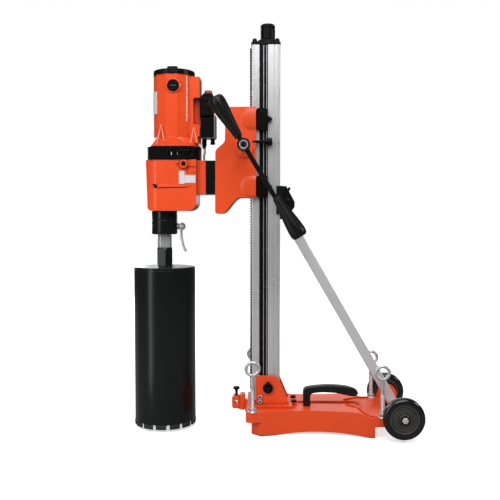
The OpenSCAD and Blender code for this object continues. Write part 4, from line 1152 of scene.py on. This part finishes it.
def accessory_clamp():
    """Drilled jaw on a stepped neck, with a thumbscrew down into its bore."""
    low, high = span("accessory_clamp")
    rear = high.x - 0.2
    jaw = prism(bmesh.new(), rounded((low.x + 0.5, 44), (low.x + 22, 80), 6, 5), -16, 16, "XZ")
    bore = [(0, -30), (6, -30), (6, 30), (0, 30)]
    jaw = combine(jaw, turn(bmesh.new(), bore, (CLAMP_X, 0, CLAMP_BORE_Z), Y, 32))
    hole = [(0, CLAMP_BORE_Z), (4.4, CLAMP_BORE_Z), (4.4, 84), (0, 84)]
    jaw = combine(jaw, turn(bmesh.new(), hole, (CLAMP_X, 0, 0), Z, 32))
    add_piece("accessory_jaw", jaw, "accessory_clamp", ["accessory_clamp"], CAST, bevel=3, segments=3,
              angle=40)
    neck = prism(bmesh.new(), rounded((220, 39), (236, 86), 5, 5), -15, 15, "XZ")
    prism(neck, rounded((214, 41), (rear, 68), 4, 4), -13, 13, "XZ")
    prism(neck, rounded((236, 35), (rear, 62), 2, 3), -24, 24, "XZ")
    add_piece("accessory_neck", neck, "accessory_clamp", (), CAST, bevel=2, segments=3, angle=40)
    low, high = span("accessory_screw")
    top = high.z
    knob = [(5.5, top - 10), (5.5, top - 8), (9.5, top - 6.5), (9.5, top - 1.5), (8.5, top), (0, top)]
    screw = turn(bmesh.new(), [(0, low.z)] + thread(4, low.z, top - 12, 1.5) + knob, (CLAMP_X, 0, 0), Z, 28)
    add_piece("accessory_thumbscrew", screw, "accessory_screw", ["accessory_screw"], bevel=0.3)


# ---------- wheels ----------

TYRE_R = 57
AXLE_END = 168


def wheel(side, name):
    """Round-shouldered tyre on a hub with turned rings on its face."""
    low, high = span(f"wheel_{name}_tyre")
    centre = centre_of(f"wheel_{name}_tyre")
    grow = (high.z - low.z) / 2 / TYRE_R
    half = (high.y - low.y) / 2
    axis = Y * side
    shoulder = [(39.5, half - 1.5), (42, half - 0.4), (47, half), (52, half - 1.6), (55.2, half - 4.6)]
    crown = [(TYRE_R - 0.4 / grow, 9), (TYRE_R, 5)]
    tread = [(r, -h) for r, h in shoulder + crown] + [(r, h) for r, h in reversed(shoulder + crown)]
    tyre = turn(bmesh.new(), [(r * grow, h) for r, h in tread], centre, axis, 96, True)
    add_piece(f"tyre_{name}", tyre, f"wheel_{name}_tyre", [f"wheel_{name}_tyre"], angle=30, bevel=0.3)
    rings = [(8.1, 17), (13.2, 17), (14.4, 16), (14.8, 11), (16.4, 10.4), (18.4, 12.2), (20.2, 12.2),
             (21, 11), (22.6, 10.8), (23.6, 12.4), (25.4, 12.4), (26.4, 11), (28.4, 10.6), (29.4, 12.6),
             (31.6, 12.8), (32.8, 11), (34.4, 10.6), (35.6, 13.4), (38, 14.2), (39.6, 14.2),
             (39.6, -14.2), (36, -14.2), (34, -9), (27, -4), (14, -6), (14, -17), (8.1, -17)]
    hub = turn(bmesh.new(), rings, centre, axis, 96, True)
    add_piece(f"hub_{name}", hub, f"wheel_{name}_hub", [f"wheel_{name}_hub"], bevel=0.25, angle=35)


def axle_ends():
    """Nuts on dark collars at the axle's ends, and the spacers inside the wheels."""
    at = centre_of("axle")
    centre = (at.x, 0, at.z)
    nut = [(0, 169.6), (8.2, 169.6), (9, 170.6), (9, 174), (8, 175), (4.6, 175), (0, 175)]
    collar = [(0, AXLE_END), (11.6, AXLE_END), (12, 168.6), (12, 169.4), (11.2, 170), (0, 170)]
    tip = [(0, 174.8), (4, 174.8), (4, 175.6), (3.4, 176), (0, 176)]
    nuts, collars = bmesh.new(), bmesh.new()
    for side in (NEAR, FAR):
        turn(nuts, nut, centre, Y * side, 6)
        turn(collars, collar, centre, Y * side, 40)
        turn(nuts, [(8.1, 126.6), (12, 126.6), (12, 133.2), (8.1, 133.2)], centre, Y * side, 40, True)
        turn(nuts, tip, centre, Y * side, 24)
    add_piece("axle_nut_set", nuts, "axle_nuts", ["axle_nuts"], bevel=0.3)
    add_piece("axle_collars", collars, "axle_nuts", slot="black_steel", bevel=0.2)
    soften("axle", 0.5)


# ---------- the whole ----------

PLAIN = {"motor_spacer": 1.2, "spindle": 0.7}


def show_cad():
    """Gives every CAD node its finish, and rounds the edges of the nodes listed in PLAIN."""
    for node, shown in frame["nodes"].items():
        shown.data.materials.clear()
        shown.data.materials.append(FINISH[SLOT_OF[node]])
    for node, bevel in PLAIN.items():
        soften(node, bevel)


bpy.context.scene.view_settings.view_transform = "Standard"
add_camera()
add_world()
add_lights()
add_floor()
show_cad()
core_bit()
water_collar()
water_valve()
gearbox()
vent_ring()
motor()
brushes()
motor_cap()
motor_label()
switch()
switch_button()
motor_cable()
carriage()
guide_shoes()
shoe_bolts()
carriage_lock()
crank_hub()
crank_bar()
column()
column_cap()
jack()
brace()
base()
foot_bolts()
pivot_bolt()
column_lock_screws()
carry_handle()
levelling()
accessory_clamp()
wheel(NEAR, "near")
wheel(FAR, "far")
axle_ends()
